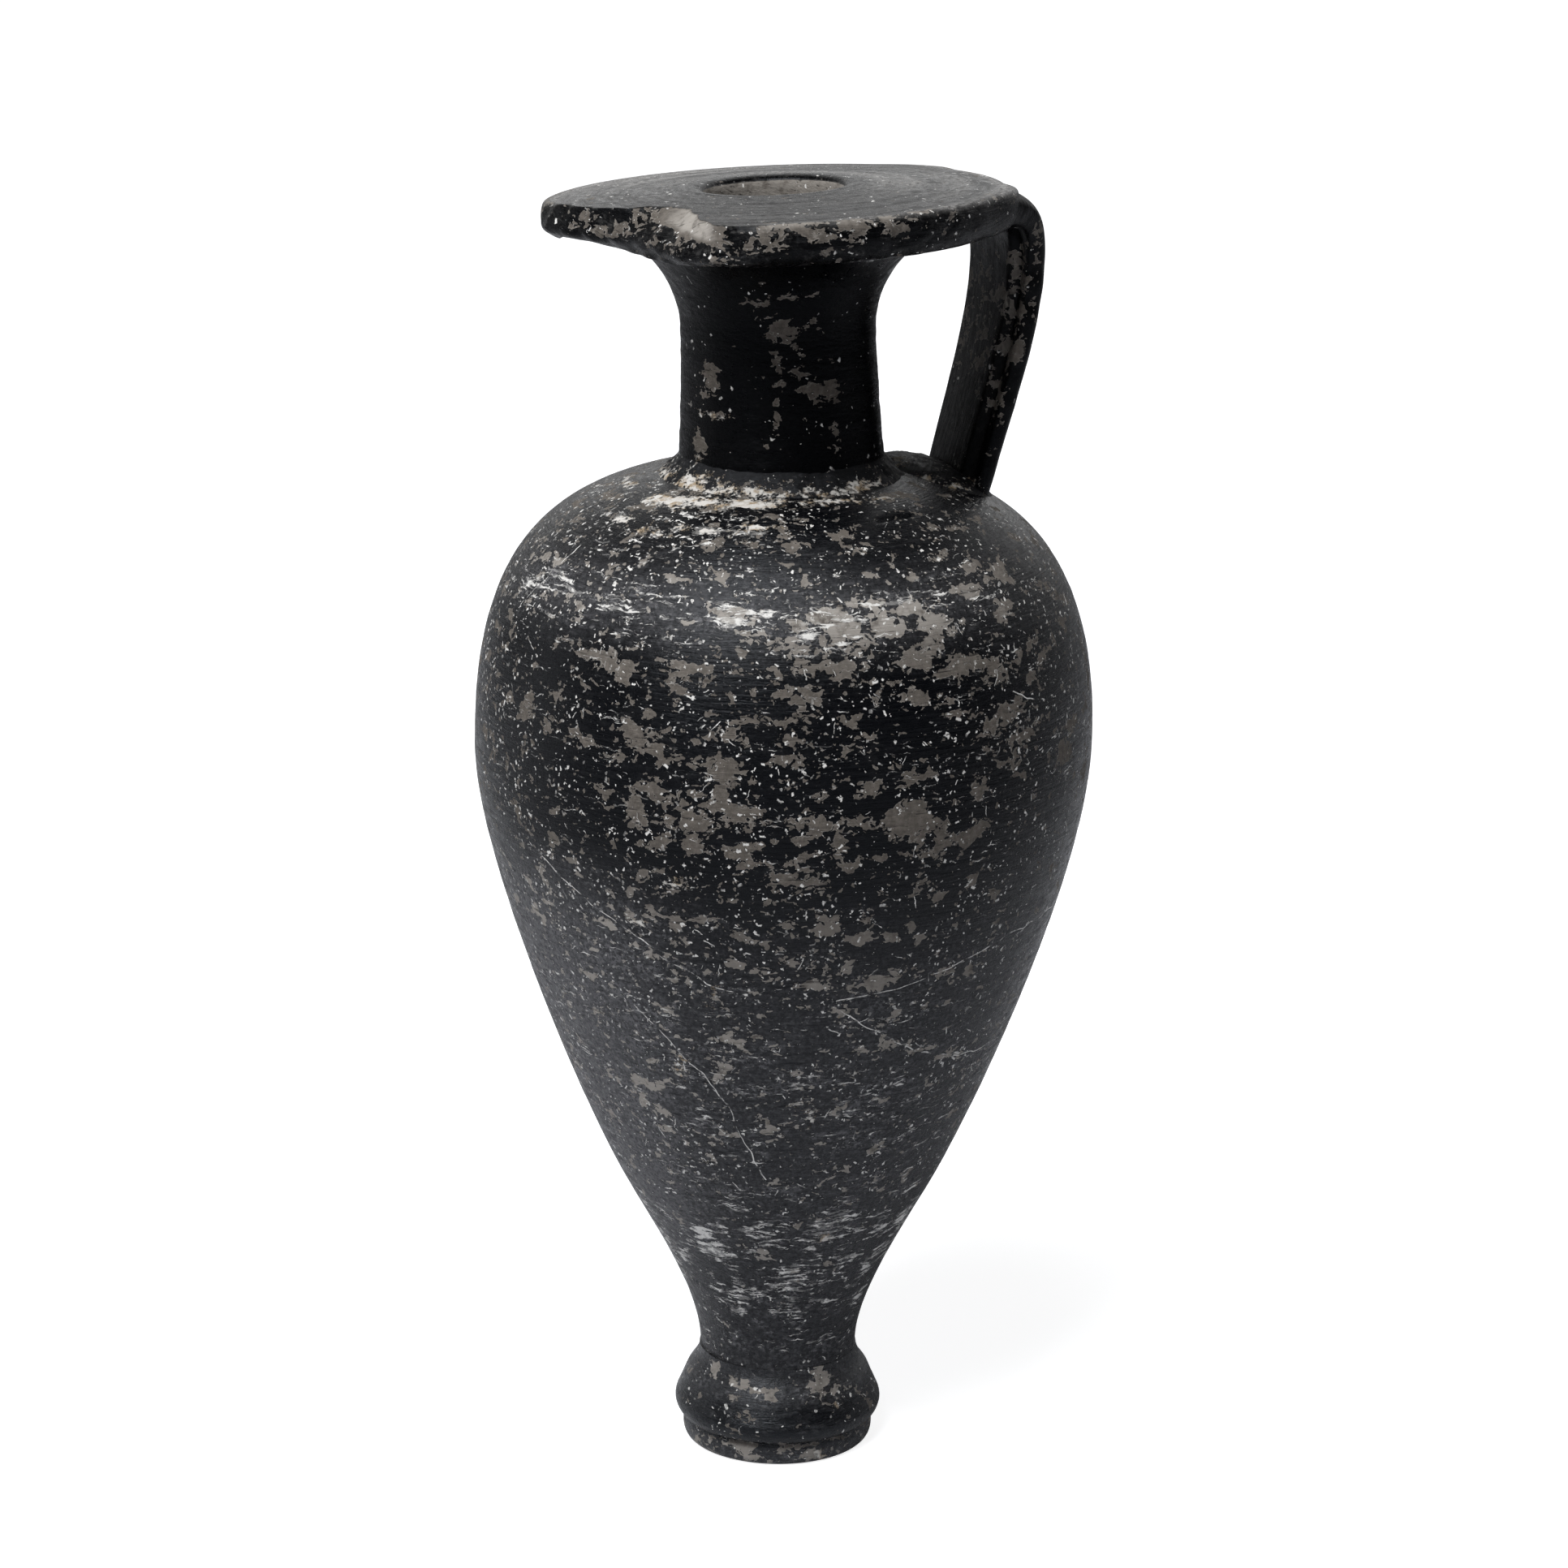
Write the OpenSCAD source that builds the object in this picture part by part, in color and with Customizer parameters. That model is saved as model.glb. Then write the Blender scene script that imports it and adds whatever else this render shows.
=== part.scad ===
// Small wheel-thrown oil flask with a pear-shaped body, a moulded foot, a flat mouth plate
// and one strap handle. The foot stands on z = 0 and the handle is on the +X side.

/* [Foot] */
// Height of the foot, from the table up to its joint with the body
foot_h = 11.6; // [9:0.1:14]
// Radius of the flat that the flask stands on
foot_rest_r = 10.5; // [9:0.1:11]
// Radius of the plain band just under the round moulding
foot_band_r = 11.4; // [11.1:0.1:12]
// Height of that band
foot_band_h = 2.2; // [1.2:0.1:2.4]
// Radius of the round moulding, at its widest line
ring_r = 12.4; // [12:0.1:14]
// Height of that line above the table
ring_z = 4.7; // [4:0.1:5]
// Radius of the moulding's round section
ring_round = 2.1; // [1.8:0.1:2.4]
// Radius of the waist where foot and body are joined
stem_r = 9.45; // [8.5:0.05:10.5]

/* [Body] */
// Height of the body's widest line above the foot joint
belly_h = 75.5; // [68:0.5:84]
// Radius of the body at its widest
belly_r = 35.9; // [31:0.1:42]
// Height from the widest line up to the neck's seat
shoulder_h = 32.1; // [28:0.1:38]
// Radius of the body where the lower flank is straightest
flank_r = 17.8; // [16:0.1:20]
// Height of that place above the foot joint
flank_h = 20.9; // [18:0.1:24]
// Lean of the flank there, measured up from level
flank_lean = 61; // [55:1:66]
// Fall of the shoulder beside the neck, measured down from level
shoulder_fall = 8.5; // [4:0.5:14]
// Wall thickness of the body
wall = 3.2; // [2.4:0.1:4.2]
// Height of the bottom of the hollow above the foot joint
well_h = 5; // [4:0.1:8]

/* [Neck] */
// Height of the neck, from the shoulder to the seat of the mouth plate
neck_h = 26.4; // [22:0.1:34]
// Radius of the neck at its foot
neck_base_r = 11.8; // [11.2:0.1:13]
// Radius of the neck at its narrowest
neck_waist_r = 11.1; // [10.5:0.1:12]
// Radius of the bore through the neck and the mouth plate
bore_r = 7.8; // [6.5:0.1:8.4]
// Distance that the bore was pulled off centre, away from the handle
bore_shift = 1.4; // [0.6:0.1:1.8]
// Distance that the neck's top leans away from the handle
neck_lean = 1.5; // [0.6:0.1:1.8]
// Height of the flare under the mouth plate
flare_h = 10.2; // [7:0.1:11]
// Radius of the neck's top, where the plate sits
seat_r = 16.4; // [15.5:0.1:17.5]
// Height of the clay coil that seals the neck to the shoulder
coil_h = 2; // [1.6:0.1:3.6]
// Width of that coil on the shoulder
coil_w = 2.2; // [2:0.1:4]

/* [Mouth plate] */
// Radius of the mouth plate
plate_r = 26.6; // [24:0.1:29]
// Thickness of the plate at its rim
rim_t = 4.7; // [3.8:0.1:5.4]
// Rise of the plate's underside from its seat to the rim
plate_dish = 0.5; // [0.3:0.1:1.4]
// Rise of the plate's top from the rim to the mouth
plate_crown = 1; // [0.4:0.1:1.8]
// Height of the bevel round the mouth
mouth_bevel = 1.1; // [0.6:0.1:1.6]
// Tilt of the plate, as it slumped before firing
plate_tilt = 2.9; // [0:0.1:4]
// Direction of the plate's high side, turned from the handle
plate_tilt_dir = -40; // [-60:1:40]

/* [Old break in the rim] */
// Direction of the break's middle, turned from the handle
break_dir = -163; // [-178:1:-143]
// Depth of the break right through the rim
break_depth = 7.2; // [4:0.1:8]
// Radius of the scallop that the break follows
break_round = 24; // [16:1:34]
// Depth of the slanted scar above the break, at the plate's top
scar_depth = 10.7; // [8.5:0.1:11.5]
// Radius of the scar's own scallop
scar_round = 7; // [4:0.5:12]
// Turn of the scar from the middle of the break
scar_turn = 11; // [0:1:20]
// Height of the ledge at the scar's foot, above the plate's seat
ledge_h = 3.2; // [2.4:0.1:4]
// Width of that ledge
ledge_w = 0.2; // [0.1:0.1:1]
// Depth of the long flake off the underside, at the rim's lower edge
spall_depth = 7; // [4:0.1:8.5]
// Height of that flake's outer edge above the plate's seat
spall_h = 1.9; // [1.4:0.1:2.3]
// Radius of the scallop that the flake follows
spall_round = 30; // [20:1:40]
// Turn of the flake from the middle of the break
spall_turn = -20; // [-30:1:0]

/* [Handle] */
// Width of the strap at its bend
strap_w = 16.8; // [13:0.1:18]
// Width of the strap at the shoulder
strap_foot_w = 14.4; // [11:0.1:16]
// Thickness of the strap at the mouth plate, through its middle
strap_t = 4.4; // [3.8:0.1:5]
// Thickness of the strap at the shoulder, through its middle
strap_foot_t = 3.9; // [3.2:0.1:4.4]
// Distance that the strap stands out past the rim
strap_out = 3.9; // [2:0.1:4.6]
// Height of the strap's bend, below the plate's top
bend_h = 9.2; // [7:0.1:11]
// Outward bow of the strap's leg
strap_bow = 1.9; // [0.8:0.1:2.6]
// Distance from the flask's axis to the strap's outer face at the shoulder
strap_foot_r = 22.9; // [20:0.1:24]
// Width of the strap where it leaves the mouth plate
strap_root_w = 30; // [24:0.1:31]
// Drop from the strap's thick middle to its thin edges, along the inner face
edge_drop = 1.3; // [0.6:0.1:1.6]
// Thickness of the clay smeared round the strap's foot
pad_t = 1.3; // [0.8:0.1:1.8]
// Margin of that clay round the strap
pad_margin = 2.2; // [1.4:0.1:3]

/* [Hidden] */

$fn = 96;
PAST = 4;
CURVE_STEPS = 14;
STRAP_STEPS = 12;

belly_z = foot_h + belly_h;
neck_z = belly_z + shoulder_h;
plate_z = neck_z + neck_h;
rim_top = plate_dish + rim_t;
mouth_top = rim_top + plate_crown;
slope = tan(plate_tilt);
// Depth below the neck's seat at which its lean begins
lean_root = 9;
lean = atan(neck_lean / (neck_h + lean_root));
rim_x = plate_r - neck_lean;
strap_reach = rim_x + strap_out;
strap_root_t = 0.95 * rim_t;
// Length of strap laid inside the plate's outline, where the plate cuts it off
strap_lap = 0.19 * plate_r;

// Throws an outline round the axis, with its seam on the side away from the handle
module thrown() {
    rotate(180)
        rotate_extrude()
            children();
}

// Cubic curve through a and d, drawn towards b and c
function curve(a, b, c, d, t) =
    pow(1 - t, 3) * a + 3 * pow(1 - t, 2) * t * b + 3 * (1 - t) * t * t * c + pow(t, 3) * d;
// Direction of that curve
function heading(a, b, c, d, t) =
    pow(1 - t, 2) * (b - a) + 2 * (1 - t) * t * (c - b) + t * t * (d - c);
// Point p moved to the right of its heading
function aside(p, way, by) = p + by * [way.y, -way.x] / norm(way);
// Run of points along one curve, moved aside, with or without its first point
function run(k, by = 0, first = 0, steps = CURVE_STEPS) =
    [for (i = [first:steps])
        aside(curve(k[0], k[1], k[2], k[3], i / steps), heading(k[0], k[1], k[2], k[3], i / steps), by)];

// The body's outline in three curves, from the foot joint up to the neck
flank_point = [flank_r, foot_h + flank_h];
flank_way = [cos(flank_lean), sin(flank_lean)];
neck_point = [neck_base_r, neck_z];
shoulder_way = [cos(shoulder_fall), -sin(shoulder_fall)];
BODY_CURVES = [
    [[stem_r, foot_h], [stem_r, foot_h + 0.27 * flank_h], flank_point - 0.45 * flank_h * flank_way, flank_point],
    [flank_point, flank_point + 0.21 * (belly_h - flank_h) * flank_way,
        [belly_r, belly_z - 0.26 * (belly_h - flank_h)], [belly_r, belly_z]],
    [[belly_r, belly_z], [belly_r, belly_z + 0.72 * shoulder_h],
        neck_point + 0.66 * (belly_r - neck_base_r) * shoulder_way, neck_point]
];
function body_outline(by) = concat(
    run(BODY_CURVES[0], by), run(BODY_CURVES[1], by, 1), run(BODY_CURVES[2], by, 1));

// Height of the shoulder at a distance from the axis
function shoulder_z(r) = lookup(r, run(BODY_CURVES[2]));

// The body as a solid form, moved out or in by a distance
module body_form(by = 0) {
    points = body_outline(by);
    last = points[len(points) - 1];
    thrown()
        polygon(concat([[0, points[0].y]], points, [[0, last.y]]));
}

// The hollow of the body, ending below in a rounded well
module body_hollow() {
    well_z = foot_h + well_h;
    above = [for (p = body_outline(-wall)) if (p.y > well_z + wall) p];
    edge = above[0];
    last = above[len(above) - 1];
    round_bottom = [for (a = [0:15:75]) [edge.x * sin(a), edge.y - (edge.y - well_z) * cos(a)]];
    thrown()
        polygon(concat(round_bottom, above, [[0, last.y]]));
}

// The straight bore that the neck, the plate and the body's top share
module bore_cut() {
    translate([-bore_shift, 0, neck_z - wall - PAST])
        cylinder(h = neck_h + wall + mouth_top + 3 * PAST, r = bore_r);
}

// Leans children away from the handle, as the neck leans
module leant() {
    translate([0, 0, neck_z - lean_root])
        rotate([0, -lean, 0])
            translate([0, 0, lean_root - neck_z])
                children();
}

// Lays children on the plate's slumped seat
module on_plate() {
    translate([-neck_lean, 0, plate_z])
        rotate(a = plate_tilt, v = [sin(plate_tilt_dir), -cos(plate_tilt_dir), 0])
            children();
}

// The mouth plate without its bore and its break
module plate_form() {
    nose = [
        [plate_r - 2, plate_dish - 0.1], [plate_r - 0.2, plate_dish + 0.2],
        [plate_r + 0.3, plate_dish + 0.6 * rim_t], [plate_r - 0.1, rim_top - 0.7]
    ];
    underside = [[seat_r, 0], [seat_r + 1.6, 0.1 * plate_dish], [plate_r - 5, 0.4 * plate_dish], nose[0]];
    arris = [nose[3], [plate_r - 0.2, rim_top - 0.2], [plate_r - 0.6, rim_top], [plate_r - 1.4, rim_top + 0.05]];
    on_plate()
        thrown()
            polygon(concat([[0, 0]], run(underside, 0, 0, 5), run(nose, 0, 1, 7), run(arris, 0, 1, 4),
                [[1.25 * bore_r, mouth_top], [0, mouth_top]]));
}

// One scallop of the broken rim, between two heights, with its depth at each
module scallop(turn, spread, low, low_bite, high, high_bite) {
    rotate(turn)
        translate([plate_r + spread, 0, low])
            cylinder(h = high - low, r1 = spread + low_bite, r2 = spread + high_bite);
}

// The old break: right through the rim, with a slanted scar above and a long flake below
module old_break() {
    past_seat = 1;
    past_rim = 0.5;
    // The flake's face runs on past the lower edge and past the rim, at one slope
    flake_slope = spall_depth / (spall_h - plate_dish);
    scallop(break_dir, break_round, -past_seat, break_depth, mouth_top, break_depth);
    scallop(break_dir + scar_turn, scar_round, ledge_h, break_depth - ledge_w, mouth_top, scar_depth);
    scallop(break_dir + spall_turn, spall_round, -past_seat, spall_depth + (plate_dish + past_seat) * flake_slope,
        spall_h + past_rim, -past_rim * flake_slope);
}

// The neck from just below its foot to past the plate's seat, without its bore
module neck_form() {
    flare_z = plate_z - flare_h;
    spread = seat_r - neck_waist_r;
    flare_r = (flare_h * flare_h + spread * spread) / (2 * spread);
    foot_lip = 0.6;
    foot_z = neck_z - 1;
    leant() thrown() {
        polygon([[0, foot_z], [neck_base_r + foot_lip, foot_z], [neck_base_r + foot_lip, neck_z],
            [neck_base_r, neck_z + foot_lip], [neck_waist_r, flare_z], [0, flare_z]]);
        difference() {
            translate([0, flare_z])
                square([seat_r + PAST, flare_h + PAST]);
            translate([neck_waist_r + flare_r, flare_z])
                circle(r = flare_r);
            translate([seat_r + 1, flare_z])
                square([2 * PAST, flare_h - 1]);
        }
    }
}

// Everything that lies above the plate's seat
module above_seat() {
    on_plate()
        cylinder(h = 4 * PAST, r = 2 * seat_r);
}

// The strap's outer face, seen from the side: from the plate over the bend to the shoulder
strap_top_z = plate_z + rim_top + plate_r * slope * cos(plate_tilt_dir);
strap_end = [strap_foot_r, shoulder_z(strap_foot_r) - 1];
bend_end = [strap_reach, strap_top_z - bend_h];
bend_start = [rim_x - strap_lap, strap_top_z - 0.1];
BEND = [bend_start, [rim_x + 0.5, strap_top_z], [strap_reach, strap_top_z - 0.3 * bend_h], bend_end];
LEG = [
    bend_end, bend_end - [0, 0.3 * (bend_end.y - strap_end.y)],
    strap_end + [strap_bow, 0.29 * (bend_end.y - strap_end.y)], strap_end
];

// Half the strap's section, outer face first, as [share of half width, share of thickness, share of drop]
STRAP_SIDE = [
    [0, 0, 0], [0.4, 0.01, 0], [0.72, 0.04, 0], [0.93, 0.13, 0], [1, 0.32, 0], [0.995, 0.62, 0],
    [0.95, 1, 1.03], [0.84, 1, 1], [0.78, 1, 1.12], [0.74, 1, 0.75], [0.71, 1, 0.12], [0.62, 1, 0],
    [0.34, 1.03, 0], [0, 1.05, 0]
];
STRAP_OTHER = [for (i = [len(STRAP_SIDE) - 2:-1:1]) [-STRAP_SIDE[i][0], STRAP_SIDE[i][1], STRAP_SIDE[i][2]]];
STRAP_SECTION = concat(STRAP_SIDE, STRAP_OTHER);

// One ring of the strap at a point of its outer face, rolled to lie in the plate's own plane at its root
function strap_ring(p, way, half, t, drop, roll) = [
    for (s = STRAP_SECTION)
        let (q = aside(p, way, s[1] * t - s[2] * drop))
            [q.x, s[0] * half, q.y + roll * s[0] * half]
];

// The strap as a sweep: wide at the plate, drawn in over the bend, tapered down the leg
module strap() {
    bend_rings = [
        for (i = [0:STRAP_STEPS])
            let (t = i / STRAP_STEPS, near = pow(1 - t, 2), wide = pow(1 - t, 1.4))
                strap_ring(curve(BEND[0], BEND[1], BEND[2], BEND[3], t),
                    heading(BEND[0], BEND[1], BEND[2], BEND[3], t),
                    (strap_w + (strap_root_w - strap_w) * wide) / 2, strap_t + (strap_root_t - strap_t) * near,
                    edge_drop * (1 - near), slope * sin(plate_tilt_dir) * (1 - t))
    ];
    leg_rings = [
        for (i = [1:STRAP_STEPS])
            let (t = i / STRAP_STEPS)
                strap_ring(curve(LEG[0], LEG[1], LEG[2], LEG[3], t),
                    heading(LEG[0], LEG[1], LEG[2], LEG[3], t),
                    (strap_w + (strap_foot_w - strap_w) * t) / 2, strap_t + (strap_foot_t - strap_t) * t,
                    edge_drop, 0)
    ];
    rings = concat(bend_rings, leg_rings);
    n = len(STRAP_SECTION);
    last = len(rings) - 1;
    points = [for (ring = rings) for (p = ring) p];
    skin = [
        for (j = [0:last - 1]) for (i = [0:n - 1])
            let (a = j * n + i, b = j * n + (i + 1) % n)
                each [[a, b, a + n], [b, b + n, a + n]]
    ];
    start_cap = [for (i = [n - 1:-1:0]) i];
    end_cap = [for (i = [0:n - 1]) last * n + i];
    polyhedron(points, concat(skin, [start_cap, end_cap]), convexity = 4);
}

module foot() {
    tangent = 25;
    ring_centre = [ring_r - ring_round, ring_z];
    leave = ring_centre + ring_round * [cos(tangent), sin(tangent)];
    flank = [leave, leave + 2.4 * [-sin(tangent), cos(tangent)], [stem_r, foot_h - 2], [stem_r, foot_h]];
    color([0.13, 0.13, 0.15])
        thrown() {
            polygon([[0, 0], [foot_rest_r, 0], [foot_band_r - 0.3, 0.6], [foot_band_r, foot_band_h],
                [foot_band_r - 0.5, foot_band_h + 0.5], [0, foot_band_h + 0.5]]);
            translate(ring_centre)
                circle(r = ring_round);
            polygon(concat([[0, foot_band_h], [ring_centre.x, foot_band_h + 0.4], [leave.x - 0.8, ring_z]],
                run(flank, 0, 0, 7), [[0, foot_h]]));
        }
}

module body() {
    color([0.14, 0.15, 0.17])
        difference() {
            body_form();
            body_hollow();
            bore_cut();
        }
}

module neck() {
    color([0.12, 0.13, 0.15])
        difference() {
            neck_form();
            body_form();
            above_seat();
            bore_cut();
        }
}

module neck_coil() {
    out = neck_base_r + coil_w;
    // The leant coil stands a little proud of the shoulder on one side, so its edge starts lower
    edge_z = shoulder_z(out) - 0.6 * out * sin(lean);
    face = [
        [out, edge_z], [out - 0.33 * coil_w, edge_z + 0.35 * coil_h],
        [neck_base_r + 0.17 * coil_w, neck_z + 0.6 * coil_h], [neck_base_r - 0.1, neck_z + coil_h]
    ];
    color([0.45, 0.42, 0.38])
        difference() {
            leant()
                thrown()
                    polygon(concat([[0, neck_z - PAST], [out, neck_z - PAST]], run(face, 0, 0, 6),
                        [[0, face[3].y]]));
            body_form();
            neck_form();
        }
}

module mouth_plate() {
    color([0.16, 0.16, 0.18])
        difference() {
            plate_form();
            bore_cut();
            translate([-bore_shift, 0, plate_z + mouth_top - mouth_bevel])
                cylinder(h = 2 * mouth_bevel, r1 = bore_r, r2 = bore_r + 2 * mouth_bevel);
            on_plate()
                old_break();
        }
}

module handle() {
    color([0.15, 0.15, 0.16])
        difference() {
            strap();
            plate_form();
            body_form(pad_t);
        }
}

// Plan of one side of the smeared clay: rounded round the strap's foot, drawn in towards the neck
PAD_CORNERS = [
    for (a = [0:15:90]) [strap_foot_r + pad_margin * cos(a), strap_foot_w / 2 - 1 + (pad_margin + 1) * sin(a)],
    for (a = [90:15:150]) [
        strap_foot_r - strap_foot_t + pad_margin * cos(a), strap_foot_w / 2 - 1 + (pad_margin + 1) * sin(a)]
];
PAD_SIDE = concat(PAD_CORNERS, [[neck_base_r, 0.4 * strap_foot_w]]);
PAD_OTHER = [for (i = [len(PAD_SIDE) - 1:-1:0]) [PAD_SIDE[i].x, -PAD_SIDE[i].y]];

module handle_pad() {
    color([0.2, 0.19, 0.18])
        difference() {
            intersection() {
                body_form(pad_t);
                translate([0, 0, neck_z - 2 * PAST])
                    linear_extrude(3 * PAST)
                        polygon(concat(PAD_SIDE, PAD_OTHER));
            }
            body_form();
            neck_form();
            neck_coil();
        }
}

foot();
body();
neck();
neck_coil();
mouth_plate();
handle();
handle_pad();
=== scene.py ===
import math

import bmesh
import bpy
from mathutils import Matrix, Vector, noise


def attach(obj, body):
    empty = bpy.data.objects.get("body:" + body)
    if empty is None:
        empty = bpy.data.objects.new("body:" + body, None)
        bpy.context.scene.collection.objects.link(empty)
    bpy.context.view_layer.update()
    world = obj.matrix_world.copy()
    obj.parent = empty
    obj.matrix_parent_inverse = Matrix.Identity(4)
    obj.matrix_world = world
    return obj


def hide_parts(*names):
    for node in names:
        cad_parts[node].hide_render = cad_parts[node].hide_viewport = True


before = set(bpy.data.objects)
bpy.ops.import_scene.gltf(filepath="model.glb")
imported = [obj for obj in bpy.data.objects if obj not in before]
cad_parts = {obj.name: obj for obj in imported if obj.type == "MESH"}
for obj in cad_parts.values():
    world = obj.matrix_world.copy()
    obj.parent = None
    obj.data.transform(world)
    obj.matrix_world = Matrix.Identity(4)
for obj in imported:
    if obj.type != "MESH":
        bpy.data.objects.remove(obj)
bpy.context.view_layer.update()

scene = bpy.context.scene
scene.view_settings.view_transform = "Standard"
MM = 0.001

# The view.
# The flask stands a little below eye level, half a metre away, with its handle to the right
# and the broken side of the mouth plate to the front left.
view_turn = math.radians(-20)
view_dip = math.radians(15.95)
view_roll = math.radians(0.5)
camera = bpy.data.objects.new("camera", bpy.data.cameras.new("camera"))
camera.data.sensor_width = 36
camera.data.lens = 103.2
camera.data.clip_start = 0.05
camera.data.clip_end = 20
camera.matrix_world = (
    Matrix.Rotation(view_turn, 4, "Z")
    @ Matrix.Translation((0.17 * MM, -505 * MM, 225.9 * MM))
    @ Matrix.Rotation(math.pi / 2 - view_dip, 4, "X")
    @ Matrix.Rotation(view_roll, 4, "Z")
)
scene.collection.objects.link(camera)
scene.camera = camera

# The foot.
# Fired clay, thrown with the body and turned on the wheel: a plain band at the table, a narrow
# groove, a round moulding, and a cove that draws in to the waist. Black slip covers it all.
foot_h = 11.6
foot_rest_r = 10.5
foot_band_r = 11.4
ring_r = 12.4
ring_z = 4.7
ring_round = 2.1
stem_r = 9.45


def curve(a, b, c, d, steps):
    """Points of a cubic curve from a to d, drawn towards b and c."""
    a, b, c, d = Vector(a), Vector(b), Vector(c), Vector(d)
    marks = [i / steps for i in range(steps + 1)]
    return [a * (1 - t) ** 3 + b * 3 * t * (1 - t) ** 2 + c * 3 * t * t * (1 - t) + d * t ** 3
            for t in marks]


def line(a, b, steps):
    """Points of a straight line from a to b."""
    return [Vector(a).lerp(Vector(b), i / steps) for i in range(steps + 1)]


def joined(*runs):
    """Runs of points set end to end, without the points that they share."""
    points = []
    for run in runs:
        for p in run:
            if not points or (Vector(p) - points[-1]).length > 0.001:
                points.append(Vector(p))
    return points


def thrown(outline, steps, closed=False):
    """Spins an outline of radius and height, in mm, round the axis. Each vertex keeps its row."""
    shape = bmesh.new()
    row = shape.verts.layers.float.new("row")
    rim = []
    for i, (r, z) in enumerate(outline):
        v = shape.verts.new((-r * MM, 0, z * MM))
        v[row] = i
        rim.append(v)
    pairs = list(zip(rim, rim[1:]))
    if closed:
        pairs.append((rim[-1], rim[0]))
    edges = [shape.edges.new(pair) for pair in pairs]
    bmesh.ops.spin(
        shape, geom=rim + edges, cent=(0, 0, 0), axis=(0, 0, 1), dvec=(0, 0, 0),
        angle=2 * math.pi, steps=steps, use_merge=True, use_normal_flip=False, use_duplicate=False,
    )
    bmesh.ops.remove_doubles(shape, verts=shape.verts, dist=0.005 * MM)
    bmesh.ops.recalc_face_normals(shape, faces=shape.faces)
    return shape


def smooth(low, high, value):
    """0 below low, 1 above high, and an easy slope between them."""
    t = min(max((value - low) / (high - low), 0), 1)
    return t * t * (3 - 2 * t)


def by_hand(shape, sway, ridges, seed, bias=0):
    """Gives a thrown shape the slow sway and the fine finger ridges of the wheel."""
    for v in shape.verts:
        r = v.co.xy.length
        if r < 2 * MM:
            continue
        out = v.co.xy / r
        slow = noise.noise(Vector((out.x * 0.9, out.y * 0.9, v.co.z / (26 * MM) + seed)))
        run = (v.co.z - 0.8 * r) / MM
        fine = noise.noise(Vector((out.x * 0.7, out.y * 0.7, run * 0.55 + seed)))
        finer = noise.noise(Vector((out.x * 1.6, out.y * 1.6, run * 1.9 + seed)))
        by = sway * (slow - bias) + ridges * (0.65 * fine + 0.35 * finer - bias)
        v.co.x += out.x * by * MM
        v.co.y += out.y * by * MM


def as_piece(shape, name, node, material, sharp=40):
    """Makes a finished mesh a piece that stands for a node of the frame."""
    mesh = bpy.data.meshes.new(name)
    shape.to_mesh(mesh)
    shape.free()
    mesh.shade_smooth()
    mesh.set_sharp_from_angle(angle=math.radians(sharp))
    mesh.materials.append(material)
    piece = bpy.data.objects.new(name, mesh)
    scene.collection.objects.link(piece)
    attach(piece, "root")
    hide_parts(node)
    return piece


def feed(tree, socket, value):
    """Links a socket to another one, or sets it."""
    if isinstance(value, bpy.types.NodeSocket):
        tree.links.new(value, socket)
    else:
        socket.default_value = value


def maths(tree, what, *values):
    """A Math node. Its result is what the two or three values make."""
    made = tree.nodes.new("ShaderNodeMath")
    made.operation = what
    for socket, value in zip(made.inputs, values):
        feed(tree, socket, value)
    return made.outputs[0]


def times(tree, *values):
    """The product of two or more values."""
    made = values[0]
    for value in values[1:]:
        made = maths(tree, "MULTIPLY", made, value)
    return made


def plus(tree, *values):
    """The sum of two or more values."""
    made = values[0]
    for value in values[1:]:
        made = maths(tree, "ADD", made, value)
    return made


def vectors(tree, what, *values):
    """A Vector Math node. Its result is a vector, or a number for a length or a dot product."""
    made = tree.nodes.new("ShaderNodeVectorMath")
    made.operation = what
    for socket, value in zip(made.inputs, values):
        feed(tree, socket, value)
    return made.outputs["Value" if what in ("LENGTH", "DOT_PRODUCT") else "Vector"]


def scaled(tree, vector, by):
    """A vector made longer or shorter."""
    made = tree.nodes.new("ShaderNodeVectorMath")
    made.operation = "SCALE"
    feed(tree, made.inputs["Vector"], vector)
    feed(tree, made.inputs["Scale"], by)
    return made.outputs["Vector"]


def clouds(tree, place, scale, detail=4, rough=0.55, what="Fac"):
    """Noise from 0 to 1, with the given number of clouds to a millimetre."""
    made = tree.nodes.new("ShaderNodeTexNoise")
    feed(tree, made.inputs["Vector"], place)
    feed(tree, made.inputs["Scale"], scale)
    feed(tree, made.inputs["Detail"], detail)
    feed(tree, made.inputs["Roughness"], rough)
    return made.outputs[what]


def ease(tree, value, low, high, to_low=0, to_high=1):
    """An easy slope from one value to another as the input goes from low to high."""
    made = tree.nodes.new("ShaderNodeMapRange")
    made.interpolation_type = "SMOOTHSTEP"
    ends = {"Value": value, "From Min": low, "From Max": high, "To Min": to_low, "To Max": to_high}
    for name, number in ends.items():
        feed(tree, made.inputs[name], number)
    return made.outputs["Result"]


def tint(tree, share, under, over):
    """One colour laid over another."""
    made = tree.nodes.new("ShaderNodeMix")
    made.data_type = "RGBA"
    feed(tree, made.inputs[0], share)
    feed(tree, made.inputs[6], under if isinstance(under, bpy.types.NodeSocket) else (*under, 1))
    feed(tree, made.inputs[7], over if isinstance(over, bpy.types.NodeSocket) else (*over, 1))
    return made.outputs[2]


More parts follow.
